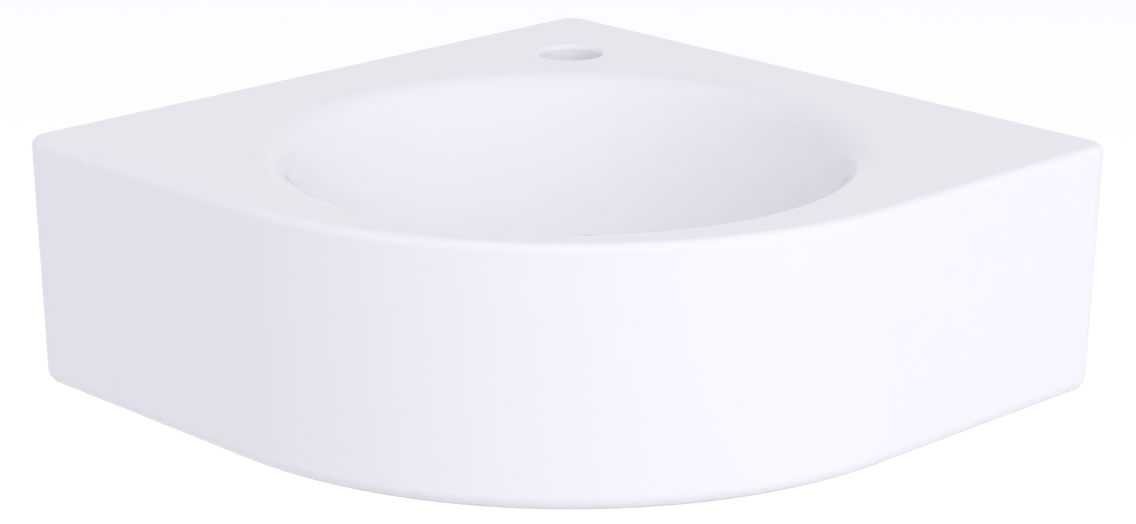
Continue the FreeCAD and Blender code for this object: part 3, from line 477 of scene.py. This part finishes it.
CHINA = GlazedChina("china")
CHROME = ChromePlate("chrome")
BRASS = TurnedBrass("brass")
RUBBER = MouldedRubber("rubber")
NYLON = MouldedNylon("nylon")
STEEL = DrawnSteel("steel")
ZINC = ZincPlate("zinc_steel")
FINISHES = {finish.slot: finish for finish in (CHINA, CHROME, BRASS, RUBBER, NYLON, STEEL, ZINC)}


def dress(target: bpy.types.Object, finish: Finish) -> None:
    """Give an object one finish all over.

    Args:
        target: the object.
        finish: its finish.
    """
    target.data.materials.clear()
    target.data.materials.append(finish.material())


def dress_frame(frame: dict[str, Any]) -> None:
    """Give every node of the frame the finish of its slot in the record."""
    for row in frame["record"]["subparts"]:
        dress(frame["nodes"][row["node"]], FINISHES[row["material_slot"]])


# ---------------------------------------------------------------- surfaces


class Ends(Enum):
    """How a grid's first and last rows are closed."""

    JOINED = "the last row meets the first, as on a ring"
    POLES = "each end row shrinks to one point"


class ThreadForm(Enum):
    """Shape of a thread across one pitch, crest at 0 and 1, root in the middle."""

    PIPE = "rounded vee, 55 degrees"
    METRIC = "flat crest, vee, rounded root, 60 degrees"
    WOOD = "thin ridge and wide root"

    def cut(self, turn: np.ndarray) -> np.ndarray:
        """Depth below the crest.

        With d the distance from the nearest crest in pitches, 0 to 0.5: the pipe's is
        (1 - cos 2 pi d) / 2, the metric one's is (d - 1/16) / (3/8) held between 0 and 1,
        and the wood screw's is r (3 - r^2) / 2, r being d / WOOD_RIDGE held at 1.

        Args:
            turn: place along the thread, in pitches.

        Returns:
            The depth, 0 at the crest and 1 at the root.
        """
        away = np.abs(turn - np.round(turn))
        if self is ThreadForm.PIPE:
            return 0.5 - 0.5 * np.cos(TURN * away)
        if self is ThreadForm.METRIC:
            return np.clip((away - 1.0 / 16.0) / (3.0 / 8.0), 0.0, 1.0)
        rise = np.clip(away / WOOD_RIDGE, 0.0, 1.0)
        return rise * (1.5 - 0.5 * rise * rise)


@dataclass(frozen=True)
class Profile:
    """Section of a turned piece: radii and heights, and how deep a thread is cut at each."""

    radius: np.ndarray
    height: np.ndarray
    cut: np.ndarray

    @staticmethod
    def rounded(*corners: tuple[float, float, float], steps: int = 5) -> Profile:
        """Line through corners whose corners are rounded.

        At a corner with half angle a between its two sides, an arc of radius R starts
        R / tan a from the corner; a point of the arc is the blend of its ends' directions
        from the centre, scaled back to R.

        Args:
            corners: radius, height and rounding of each corner, in order.
            steps: points on each arc.

        Returns:
            The profile, without any thread.
        """
        given = np.asarray(corners, float)
        spots, rounding = given[:, :2], given[:, 2:]
        before = np.roll(spots, 1, axis=0) - spots
        after = np.roll(spots, -1, axis=0) - spots
        before[0], after[-1] = -after[0], -before[-1]
        before /= np.linalg.norm(before, axis=1, keepdims=True)
        after /= np.linalg.norm(after, axis=1, keepdims=True)
        cosine = np.sum(before * after, axis=1, keepdims=True).clip(-1.0, FOLD)
        half = np.arccos(cosine) / 2.0
        reach = rounding / np.tan(half)
        inward = before + after
        size = np.linalg.norm(inward, axis=1, keepdims=True)
        inward = np.divide(inward, size, out=np.zeros_like(inward), where=size > NO_BISECTOR)
        centre = spots + inward * rounding / np.sin(half)
        first, last = spots + before * reach - centre, spots + after * reach - centre
        share = np.linspace(0.0, 1.0, steps)[None, :, None]
        spoke = first[:, None] * (1.0 - share) + last[:, None] * share
        length = np.linalg.norm(spoke, axis=2, keepdims=True)
        spoke = np.divide(spoke, length, out=np.zeros_like(spoke), where=length > NO_SPOKE)
        arcs = centre[:, None] + spoke * rounding[:, None]
        line = arcs.reshape(-1, 2)
        kept = np.append(True, np.linalg.norm(np.diff(line, axis=0), axis=1) > SAME_POINT)
        return Profile(line[kept, 0], line[kept, 1], np.zeros(int(kept.sum())))

    @staticmethod
    def threaded(start: float, end: float, crest: float, depth: float, pitch: float) -> Profile:
        """Straight run of thread, cut ever deeper over its first and last turn.

        The cut at height h is depth times the smaller of 1 and the distance from the
        nearer end in pitches.

        Args:
            start: height where it starts.
            end: height where it ends.
            crest: radius of the crest.
            depth: depth of the root under the crest.
            pitch: distance between turns.

        Returns:
            The profile.
        """
        height = np.linspace(start, end, int(abs(end - start) / pitch * ROWS_PER_TURN) + 2)
        to_end = np.minimum(np.abs(height - start), np.abs(height - end))
        cut = depth * np.clip(to_end / pitch, 0.0, 1.0)
        return Profile(np.full_like(height, crest), height, cut)

    def __add__(self, other: Profile) -> Profile:
        """One profile after the other."""
        return Profile(
            np.append(self.radius, other.radius),
            np.append(self.height, other.height),
            np.append(self.cut, other.cut),
        )


@dataclass(frozen=True)
class Surface:
    """A closed surface: its points, and its faces by the numbers of their points."""

    points: np.ndarray
    quads: np.ndarray
    triangles: np.ndarray

    @staticmethod
    def over(grid: np.ndarray, ends: Ends) -> Surface:
        """Faces over a grid of points whose columns go once round.

        Args:
            grid: points by row and column.
            ends: how the first and last rows are closed.

        Returns:
            The surface, facing outwards.
        """
        rows, columns = grid.shape[:2]
        number = np.arange(rows * columns).reshape(rows, columns)
        beside = np.roll(number, -1, axis=1)
        if ends is Ends.JOINED:
            above, above_beside = np.roll(number, -1, axis=0), np.roll(beside, -1, axis=0)
            quads = np.stack((number, beside, above_beside, above), axis=-1).reshape(-1, 4)
            return Surface(grid.reshape(-1, 3), quads, np.zeros((0, 3), int)).outward()
        sides = np.stack((number[:-1], beside[:-1], beside[1:], number[1:]), axis=-1)
        poles = np.stack((grid[0].mean(axis=0), grid[-1].mean(axis=0)))
        low = np.stack((beside[0], number[0], np.full(columns, rows * columns)), axis=-1)
        high = np.stack((number[-1], beside[-1], np.full(columns, rows * columns + 1)), axis=-1)
        points = np.concatenate((grid.reshape(-1, 3), poles))
        return Surface(points, sides.reshape(-1, 4), np.concatenate((low, high))).outward()

    @staticmethod
    def turned(
        profile: Profile,
        columns: int,
        ends: Ends,
        pitch: float = 1.0,
        form: ThreadForm = ThreadForm.PIPE,
    ) -> Surface:
        """Profile turned about the Z axis.

        At the angle t and height h the radius is the profile's radius less its cut times
        the form's depth at h / pitch - t / (2 pi), which winds a right-hand thread.

        Args:
            profile: the section.
            columns: points round the axis.
            ends: how the profile's ends are closed.
            pitch: distance between turns of the thread.
            form: shape of the thread.

        Returns:
            The surface, facing outwards.
        """
        angle = np.arange(columns) * (TURN / columns)
        place = profile.height[:, None] / pitch - angle[None, :] / TURN
        radius = profile.radius[:, None] - profile.cut[:, None] * form.cut(place)
        height = np.broadcast_to(profile.height[:, None], radius.shape)
        grid = np.stack((radius * np.cos(angle), radius * np.sin(angle), height), axis=-1)
        return Surface.over(grid, ends)

    def __add__(self, other: Surface) -> Surface:
        """Both surfaces as one."""
        start = len(self.points)
        return Surface(
            np.concatenate((self.points, other.points)),
            np.concatenate((self.quads, other.quads + start)),
            np.concatenate((self.triangles, other.triangles + start)),
        )

    def outward(self) -> Surface:
        """The same surface with its faces pointing out, told by the sign of its volume."""
        quads = np.concatenate((self.quads[:, :3], self.quads[:, [0, 2, 3]]))
        first, second, third = np.moveaxis(self.points[np.concatenate((quads, self.triangles))], 1, 0)
        if np.sum(first * np.cross(second, third)) >= 0.0:
            return self
        return Surface(self.points, self.quads[:, ::-1], self.triangles[:, ::-1])

    def moved(self, turn: np.ndarray, shift: Sequence[float] = (0.0, 0.0, 0.0)) -> Surface:
        """The surface turned by a 3 by 3 matrix, which may mirror it, and then shifted."""
        return Surface(self.points @ turn.T + np.asarray(shift), self.quads, self.triangles).outward()

    def build(self, name: str, finish: Finish, body: str, *nodes: str) -> bpy.types.Object:
        """Make the object.

        Args:
            name: the object's name.
            finish: its finish.
            body: the body that it moves with.
            nodes: the plainer pieces that it stands for.

        Returns:
            The object, at the origin with its place in its mesh.
        """
        mesh = bpy.data.meshes.new(name)
        faces = self.quads.tolist() + self.triangles.tolist()
        mesh.from_pydata((self.points * MM).tolist(), [], faces)
        mesh.shade_smooth()
        mesh.set_sharp_from_angle(angle=CREASE)
        piece = bpy.data.objects.new(name, mesh)
        bpy.context.scene.collection.objects.link(piece)
        dress(piece, finish)
        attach(piece, body)
        if nodes:
            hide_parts(*nodes)
        LOG.info("%s: %d points, stands for %s", name, len(self.points), ", ".join(nodes) or "none")
        return piece


# ---------------------------------------------------------------- sub-assemblies, in millimetres

BOWL_AXIS = -296.0153
STUD_REACH = 300.0
STUD_DROP = 55.0


def on_bowl_axis(surface: Surface) -> Surface:
    """Set a surface drawn about Z on the axis that the bowl, the waste and the plug share."""
    return surface.moved(np.eye(3), (0.0, BOWL_AXIS, 0.0))


def on_both_walls(surface: Surface) -> Surface:
    """Set a surface drawn about a stud's axis on both walls.

    A wall runs from the corner at 45 degrees, and the stud's +Z goes into it, STUD_REACH
    from the corner along the wall and STUD_DROP under the deck.

    Args:
        surface: drawn with +Z into the wall and z = 0 on the wall's face.

    Returns:
        The surface on the right wall and its mirror image on the left.
    """
    slant = math.sqrt(0.5)
    turn = np.array(((slant, 0.0, slant), (-slant, 0.0, slant), (0.0, -1.0, 0.0)))
    right = surface.moved(turn, (STUD_REACH * slant, -STUD_REACH * slant, -STUD_DROP))
    return right + right.moved(np.diag((-1.0, 1.0, 1.0)))


@dataclass(frozen=True)
class CastChina:
    """Coves that run the cast china's hidden parts into each other.

    The bowl's outside is a cone that leans out at cone_lean and meets the deck's underside
    at cone_foot. Its floor falls at floor_fall from floor_apex, and carries the waste's seat.
    """

    deck_under: float = -14.0
    cone_foot: float = 153.74
    cone_lean: float = math.radians(32.0)
    deck_cove: float = 11.0
    floor_apex: float = -114.024
    floor_fall: float = math.radians(4.0)
    seat_radius: float = 36.0
    seat_cove: float = 6.0
    boss_radius: float = 22.0
    boss_cove: float = 4.0
    apron_wall: float = 11.0
    sink: float = 0.05
    tuck: float = 0.4
    steps: int = 9
    deck_columns: int = 160
    seat_columns: int = 96
    boss_columns: int = 64

    def _cove(self, corner: Sequence[float], first: float, second: float, radius: float) -> Profile:
        """Section of a cove in the corner between two surfaces.

        The arc's centre lies on the corner's bisector, radius / sin(half angle) away. Its
        points are centre + (radius + sink) times the unit vector at angles evenly spaced
        between the two points of contact, so that both edges dip just under the surfaces.
        One more point, tuck behind the corner, closes the section.

        Args:
            corner: radius and height of the corner.
            first: direction of one surface away from the corner, in radians.
            second: direction of the other.
            radius: the cove's radius.

        Returns:
            The closed section.
        """
        half = (second - first) / 2.0
        middle = (first + second) / 2.0
        bisector = np.array((math.cos(middle), math.sin(middle)))
        centre = np.asarray(corner) + bisector * radius / math.sin(abs(half))
        spread = (math.pi / 2.0 - abs(half)) * np.sign(half)
        angle = np.linspace(middle + math.pi + spread, middle + math.pi - spread, self.steps)
        arc = centre + (radius + self.sink) * np.stack((np.cos(angle), np.sin(angle)), axis=-1)
        behind = np.asarray(corner) - bisector * self.tuck
        line = np.concatenate((arc, behind[None]))
        return Profile(line[:, 0], line[:, 1], np.zeros(len(line)))

    def build(self) -> None:
        """Make the coves under the deck, round the waste's seat and round the two fixings."""
        under_deck = self._cove(
            (self.cone_foot, self.deck_under), 0.0, self.cone_lean - math.pi / 2.0, self.deck_cove
        )
        level = self.floor_apex + self.seat_radius * math.tan(self.floor_fall)
        at_seat = self._cove(
            (self.seat_radius, level), self.floor_fall, -math.pi / 2.0, self.seat_cove
        )
        round_deck = Surface.turned(under_deck, self.deck_columns, Ends.JOINED)
        round_seat = Surface.turned(at_seat, self.seat_columns, Ends.JOINED)
        bowl = on_bowl_axis(round_deck + round_seat)

        at_boss = self._cove(
            (self.boss_radius, -self.apron_wall), 0.0, -math.pi / 2.0, self.boss_cove
        )
        bosses = on_both_walls(Surface.turned(at_boss, self.boss_columns, Ends.JOINED))
        (bowl + bosses).build("china_coves", CHINA, "basin")


@dataclass(frozen=True)
class Waste:
    """Slotless waste: flange, pipe-threaded tube and the three-arm crossbar inside it."""

    flange_radius: float = 31.5
    flange_top: float = -103.0
    flange_under: float = -106.0
    mouth_radius: float = 23.5
    mouth_floor: float = -109.0
    collar_radius: float = 22.5
    collar_under: float = -111.0
    tube_radius: float = 20.95
    bore_radius: float = 18.75
    tail_end: float = -176.0
    groove_top: float = -138.5
    groove_under: float = -140.0
    groove_radius: float = 20.35
    nut_thread_top: float = -124.0
    pitch: float = 2.309
    thread_depth: float = 1.35
    hub_radius: float = 9.0
    hub_bore: float = 6.05
    hub_top: float = -126.0
    hub_under: float = -134.0
    hub_round: float = 0.8
    hub_bore_round: float = 0.4
    hub_columns: int = 64
    arm_width: float = 4.0
    arm_count: int = 3
    arm_in_hub: float = 1.0
    arm_short: float = 0.6
    arm_points: int = 40
    arm_rows: int = 6
    tail_bevel: float = 0.9
    tail_rise: float = 0.8
    tail_inner_round: float = 0.2
    tail_outer_round: float = 0.1
    tail_bore_rise: float = 1.0
    groove_step: float = 0.01
    thread_relief: float = 0.5
    under_round: float = 0.3
    flange_round: float = 1.4
    mouth_round: float = 1.0
    throat_round: float = 1.6
    columns: int = 128
    flange_steps: int = 9

    def shell(self) -> Surface:
        """Flange, threaded tube and bore as one turned ring."""
        tail = Profile.rounded(
            (self.bore_radius, self.tail_end, self.tail_inner_round),
            (self.tube_radius - self.tail_bevel, self.tail_end, self.tail_outer_round),
        )
        thread = (self.tube_radius, self.thread_depth, self.pitch)
        free = Profile.threaded(self.tail_end + self.tail_rise, self.groove_under, *thread)
        groove = Profile.rounded(
            (self.groove_radius, self.groove_under - self.groove_step, 0.0),
            (self.groove_radius, self.groove_top + self.groove_step, 0.0),
        )
        clamped = Profile.threaded(self.groove_top, self.nut_thread_top, *thread)
        top = Profile.rounded(
            (self.tube_radius, self.nut_thread_top + self.thread_relief, 0.0),
            (self.tube_radius, self.collar_under, 0.0),
            (self.collar_radius, self.collar_under, self.under_round),
            (self.collar_radius, self.flange_under, 0.0),
            (self.flange_radius, self.flange_under, self.under_round),
            (self.flange_radius, self.flange_top, self.flange_round),
            (self.mouth_radius, self.flange_top, self.mouth_round),
            (self.bore_radius, self.mouth_floor, self.throat_round),
            (self.bore_radius, self.tail_end + self.tail_bore_rise, 0.0),
            steps=self.flange_steps,
        )
        whole = tail + free + groove + clamped + top
        return Surface.turned(whole, self.columns, Ends.JOINED, self.pitch, ThreadForm.PIPE)

    def hub(self) -> Surface:
        """Ring that the cartridge screws into."""
        section = Profile.rounded(
            (self.hub_bore, self.hub_under, self.hub_bore_round),
            (self.hub_radius, self.hub_under, self.hub_round),
            (self.hub_radius, self.hub_top, self.hub_round),
            (self.hub_bore, self.hub_top, self.hub_bore_round),
        )
        return Surface.turned(section, self.hub_columns, Ends.JOINED)

    def arm(self, number: int) -> Surface:
        """One arm: a rounded section carried straight out from the hub into the tube's wall.

        The section is the curve |u|^4 + |v|^4 = 1 scaled to the arm's half width and half
        height: u = sgn(cos t) sqrt|cos t|, v = sgn(sin t) sqrt|sin t|.
        """
        angle = np.arange(self.arm_points) * (TURN / self.arm_points)
        wide = np.sign(np.cos(angle)) * np.sqrt(np.abs(np.cos(angle))) * self.arm_width / 2.0
        half_height = (self.hub_top - self.hub_under) / 2.0
        high = np.sign(np.sin(angle)) * np.sqrt(np.abs(np.sin(angle))) * half_height
        wall_middle = (self.bore_radius + self.tube_radius) / 2.0
        start, end = self.hub_radius - self.arm_in_hub, wall_middle - self.arm_short
        out = np.linspace(start, end, self.arm_rows)
        middle = self.hub_under + half_height
        shape = (len(out), len(angle))
        grid = np.stack(
            (
                np.broadcast_to(out[:, None], shape),
                np.broadcast_to(wide, shape),
                np.broadcast_to(middle + high, shape),
            ),
            axis=-1,
        )
        turn = number * TURN / self.arm_count
        cosine, sine = math.cos(turn), math.sin(turn)
        about = np.array(((cosine, -sine, 0.0), (sine, cosine, 0.0), (0.0, 0.0, 1.0)))
        return Surface.over(grid, Ends.POLES).moved(about)

    def build(self) -> None:
        """Join the shell, hub and arms and stand them in for the plain waste."""
        whole = self.shell() + self.hub()
        for number in range(self.arm_count):
            whole = whole + self.arm(number)
        on_bowl_axis(whole).build("threaded_waste", CHROME, "basin", "waste_body")


@dataclass(frozen=True)
class Plug:
    """Domed cap of the plug, spun from plate with a rolled edge."""

    crown: float = -90.6
    crown_rise: float = 4.0
    edge_radius: float = 22.0
    edge_under: float = -96.2
    boss_radius: float = 17.0
    groove_under: float = -99.2
    lip_radius: float = 18.0
    lip_under: float = -100.7
    socket_radius: float = 2.05
    socket_roof: float = -96.5
    edge_round: float = 0.75
    edge_drop: float = 0.1
    under_round: float = 0.5
    boss_round: float = 0.2
    lip_top_round: float = 0.3
    lip_round: float = 0.4
    dome_setback: float = 0.6
    dome_rows: int = 28
    pole: float = 0.05
    columns: int = 128

    def build(self) -> None:
        """Turn the cap: a dome of radius (a^2 + c^2) / (2 c), a its half width and c its rise."""
        dome = (self.edge_radius**2 + self.crown_rise**2) / (2.0 * self.crown_rise)
        reach = self.edge_radius - self.dome_setback
        radius = np.linspace(self.pole, reach, self.dome_rows)
        height = self.crown - dome + np.sqrt(dome**2 - radius**2)
        top = Profile(radius[:-1], height[:-1], np.zeros(len(radius) - 1))
        rim = Profile.rounded(
            (reach, float(height[-1]), 0.0),
            (self.edge_radius, self.crown - self.crown_rise - self.edge_drop, self.edge_round),
            (self.edge_radius, self.edge_under, self.under_round),
            (self.boss_radius, self.edge_under, self.boss_round),
            (self.boss_radius, self.groove_under, self.boss_round),
            (self.lip_radius, self.groove_under, self.lip_top_round),
            (self.lip_radius, self.lip_under, self.lip_round),
            (self.socket_radius, self.lip_under, self.boss_round),
            (self.socket_radius, self.socket_roof, 0.0),
            (self.pole, self.socket_roof, 0.0),
        )
        cap = Surface.turned(top + rim, self.columns, Ends.POLES)
        on_bowl_axis(cap).build("domed_cap", CHROME, "plug", "waste_cap")


@dataclass(frozen=True)
class Cartridge:
    """Compression spring under the plunger, with one closed turn at each end."""

    seat: float = -145.0
    free_length: float = 17.94
    seat_gap: float = 0.03
    travel: float = 8.0
    coil_radius: float = 2.6
    wire_radius: float = 0.4
    turns: int = 7
    closed_rise: float = 0.84
    steps: int = 40
    columns: int = 16
    slack: float = 0.1

    def spring(self) -> Surface:
        """Wire wound along a helix.

        After u turns the wire's middle is at R (cos 2 pi u, sin 2 pi u) and at a height that
        rises by closed_rise in the first and last turns and evenly in the others. Round it
        go points r (cos v) n + r (sin v) b, n the direction away from the axis and b the one
        square to both n and the wire.

        Returns:
            The surface, in place.
        """
        turn = np.linspace(0.0, self.turns, self.turns * self.steps + 1)
        low = self.seat + self.seat_gap + self.wire_radius
        high = self.seat + self.free_length - self.seat_gap - self.wire_radius
        knots = (0.0, 1.0, self.turns - 1.0, self.turns)
        height = np.interp(turn, knots, (low, low + self.closed_rise, high - self.closed_rise, high))
        angle, level = TURN * turn, np.zeros_like(turn)
        away = np.stack((np.cos(angle), np.sin(angle), level), axis=-1)
        middle = away * self.coil_radius + np.stack((level, level, height), axis=-1)
        along = np.gradient(middle, axis=0)
        across = np.cross(along, away)
        across /= np.linalg.norm(across, axis=-1, keepdims=True)
        side = np.arange(self.columns) * (TURN / self.columns)
        ring = np.cos(side)[None, :, None] * away[:, None] + np.sin(side)[None, :, None] * across[:, None]
        return on_bowl_axis(Surface.over(middle[:, None] + ring * self.wire_radius, Ends.POLES))

    def build(self) -> None:
        """Wind the spring."""
        spring = self.spring().build("coiled_spring", STEEL, "basin", "cartridge_spring")
        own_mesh(spring)


@dataclass(frozen=True)
class WallFixings:
    """Two hanger studs: machine thread for the nut, plain neck, and wood screw in the wall."""

    inner_end: float = -35.0
    radius: float = 5.0
    machine_pitch: float = 1.5
    machine_depth: float = 0.85
    neck_radius: float = 4.3
    neck_length: float = 6.0
    screw_radius: float = 4.8
    screw_pitch: float = 4.2
    screw_depth: float = 1.35
    screw_end: float = 75.0
    point_length: float = 6.0
    bevel: float = 0.9
    bevel_rise: float = 0.8
    bevel_round: float = 0.2
    run_out: float = 0.6
    neck_run_in: float = 0.4
    overlap: float = 0.1
    pole: float = 0.02
    pole_step: float = 0.01
    screw_rows: int = 230
    columns: int = 56

    def machine_end(self) -> Surface:
        """Bevelled machine thread, from the inner end to the neck's middle."""
        bevel = Profile.rounded(
            (self.pole, self.inner_end, 0.0),
            (self.radius - self.bevel, self.inner_end, self.bevel_round),
        )
        thread = (self.radius, self.machine_depth, self.machine_pitch)
        run = Profile.threaded(self.inner_end + self.bevel_rise, -self.run_out, *thread)
        neck = Profile.rounded(
            (self.neck_radius, 0.0, self.bevel_round),
            (self.neck_radius, self.neck_length / 2.0, 0.0),
            (self.pole, self.neck_length / 2.0 + self.overlap, 0.0),
        )
        whole = bevel + run + neck
        return Surface.turned(whole, self.columns, Ends.POLES, self.machine_pitch, ThreadForm.METRIC)

    def wood_end(self) -> Surface:
        """Wood screw from the neck's middle to its gimlet point.

        Crest and cut grow over the first turn and shrink with the distance left over the
        point, so that the ridge winds down to the tip.
        """
        start = self.neck_length
        neck = Profile.rounded(
            (self.pole, start / 2.0, 0.0),
            (self.neck_radius, start / 2.0 + self.pole_step, 0.0),
            (self.neck_radius, start - self.neck_run_in, 0.0),
        )
        height = np.linspace(start, self.screw_end - self.overlap, self.screw_rows)
        grown = np.clip((height - start) / self.screw_pitch, 0.0, 1.0)
        left = np.clip((self.screw_end - height) / self.point_length, 0.0, 1.0)
        crest = self.neck_radius + (self.screw_radius - self.neck_radius) * grown
        screw = Profile(crest * left, height, self.screw_depth * grown * left)
        whole = neck + screw
        return Surface.turned(whole, self.columns, Ends.POLES, self.screw_pitch, ThreadForm.WOOD)

    def build(self) -> None:
        """Join both ends and set a stud on each wall."""
        stud = self.machine_end() + self.wood_end()
        on_both_walls(stud).build("threaded_studs", ZINC, "basin", "hanger_studs")


# ---------------------------------------------------------------- studio


@dataclass(frozen=True)
class View:
    """The photograph's camera, placed by its direction and distance from a target."""

    image_width: int = 1136
    focal_px: float = 3388.6
    azimuth: float = math.radians(0.578)
    elevation: float = math.radians(17.350)
    roll: float = math.radians(0.238)
    distance: float = 1.8417
    target: Place = (0.0002, -0.2209, -0.0862)

    def back(self) -> Vector:
        """Unit vector from the target to the camera."""
        level = math.cos(self.elevation)
        return Vector(
            (
                math.sin(self.azimuth) * level,
                -math.cos(self.azimuth) * level,
                math.sin(self.elevation),
            )
        )

    def build(self) -> None:
        """Make the camera and set it as the scene's."""
        data = bpy.data.cameras.new("photo_camera")
        data.lens = self.focal_px / self.image_width * data.sensor_width
        camera = bpy.data.objects.new("photo_camera", data)
        bpy.context.scene.collection.objects.link(camera)
        back = self.back()
        turn = back.to_track_quat("Z", "Y").to_matrix().to_4x4()
        turn = turn @ Matrix.Rotation(self.roll, 4, "Z")
        camera.matrix_world = Matrix.Translation(Vector(self.target) + back * self.distance) @ turn
        bpy.context.scene.camera = camera


@dataclass(frozen=True)
class Softbox:
    """A square area lamp, aimed at the basin and not mirrored in the glaze."""

    name: str
    place: Place
    size: float
    power: float
    aim: Place = (0.0, -0.26, -0.05)
    tint: Colour = WHITE

    def build(self) -> None:
        """Make the lamp."""
        data = bpy.data.lights.new(self.name, "AREA")
        data.shape = "SQUARE"
        data.size = self.size
        data.energy = self.power
        data.color = self.tint
        lamp = bpy.data.objects.new(self.name, data)
        lamp.visible_camera = False
        lamp.visible_glossy = False
        bpy.context.scene.collection.objects.link(lamp)
        away = Vector(self.place) - Vector(self.aim)
        turn = away.to_track_quat("Z", "Y").to_matrix().to_4x4()
        lamp.matrix_world = Matrix.Translation(Vector(self.place)) @ turn


@dataclass(frozen=True)
class Studio:
    """Plain pale floor, even surrounding light, three large soft lamps and the camera."""

    floor_level: float = -0.85
    floor_half: float = 12.0
    floor_colour: Colour = (0.80, 0.80, 0.80)
    floor_lift: float = 0.45
    backdrop: float = 1.0
    surround: float = 0.590
    surround_tint: Colour = (0.942, 0.934, 1.0)
    lamps: tuple[Softbox, ...] = (
        Softbox("key_lamp", (3.1, -3.4, 1.5), 4.0, 92.7),
        Softbox("front_fill", (0.3, -3.6, 3.4), 4.0, 61.0),
        Softbox("side_fill", (-4.2, -0.9, 1.3), 4.0, 40.5, tint=(0.91, 0.92, 1.0)),
    )
    view: View = field(default_factory=View)

    def build(self) -> None:
        """Make the floor, the world, the lamps and the camera."""
        self._floor()
        self._world()
        for lamp in self.lamps:
            lamp.build()
        self.view.build()
        bpy.context.scene.view_settings.view_transform = "Standard"

    @staticmethod
    def _seen_directly(shader: Shader) -> Wire:
        """1 for a ray from the camera, a mirror or a lens, and 0 for light."""
        path = shader.node("ShaderNodeLightPath", out="Is Camera Ray")
        outputs = path.socket.node.outputs
        glossy = Wire(shader, outputs["Is Glossy Ray"])
        through = Wire(shader, outputs["Is Transmission Ray"])
        return (path + glossy + through).at_most(1.0)

    def _floor(self) -> None:
        """A flat floor that keeps the shadow and shows as white as the background."""
        half, level = self.floor_half, self.floor_level
        corners = [(-half, -half, level), (half, -half, level), (half, half, level), (-half, half, level)]
        mesh = bpy.data.meshes.new("floor")
        mesh.from_pydata(corners, [], [(0, 1, 2, 3)])
        floor = bpy.data.objects.new("floor", mesh)
        bpy.context.scene.collection.objects.link(floor)
        paint = bpy.data.materials.new("floor_paint")
        paint.use_nodes = True
        shader = Shader(paint)
        matt = shader.node("ShaderNodeBsdfDiffuse", sockets={"Color": (*self.floor_colour, 1.0)})
        lift = self._seen_directly(shader) * self.floor_lift
        glow = shader.node("ShaderNodeEmission", sockets={"Strength": lift})
        shader.finish(shader.node("ShaderNodeAddShader", sockets={0: matt, 1: glow}))
        mesh.materials.append(paint)

    def _world(self) -> None:
        """Even light from all round, shown as white."""
        world = bpy.data.worlds.new("surround")
        world.use_nodes = True
        bpy.context.scene.world = world
        shader = Shader(world)
        seen = self._seen_directly(shader)
        strength = self.surround + seen * (self.backdrop - self.surround)
        tint = shader.blend(seen, self.surround_tint, WHITE)
        sockets = {"Color": tint, "Strength": strength}
        shader.finish(shader.node("ShaderNodeBackground", sockets=sockets))


# ---------------------------------------------------------------- whole object


def main() -> None:
    """Load the frame, dress it and set up the studio."""
    logging.basicConfig(level=logging.INFO, format="%(name)s: %(message)s")
    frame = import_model()
    dress_frame(frame)
    for assembly in (CastChina(), Waste(), Plug(), Cartridge(), WallFixings()):
        LOG.info("building %s", type(assembly).__name__)
        assembly.build()
    Studio().build()


if __name__ == "__main__":
    main()
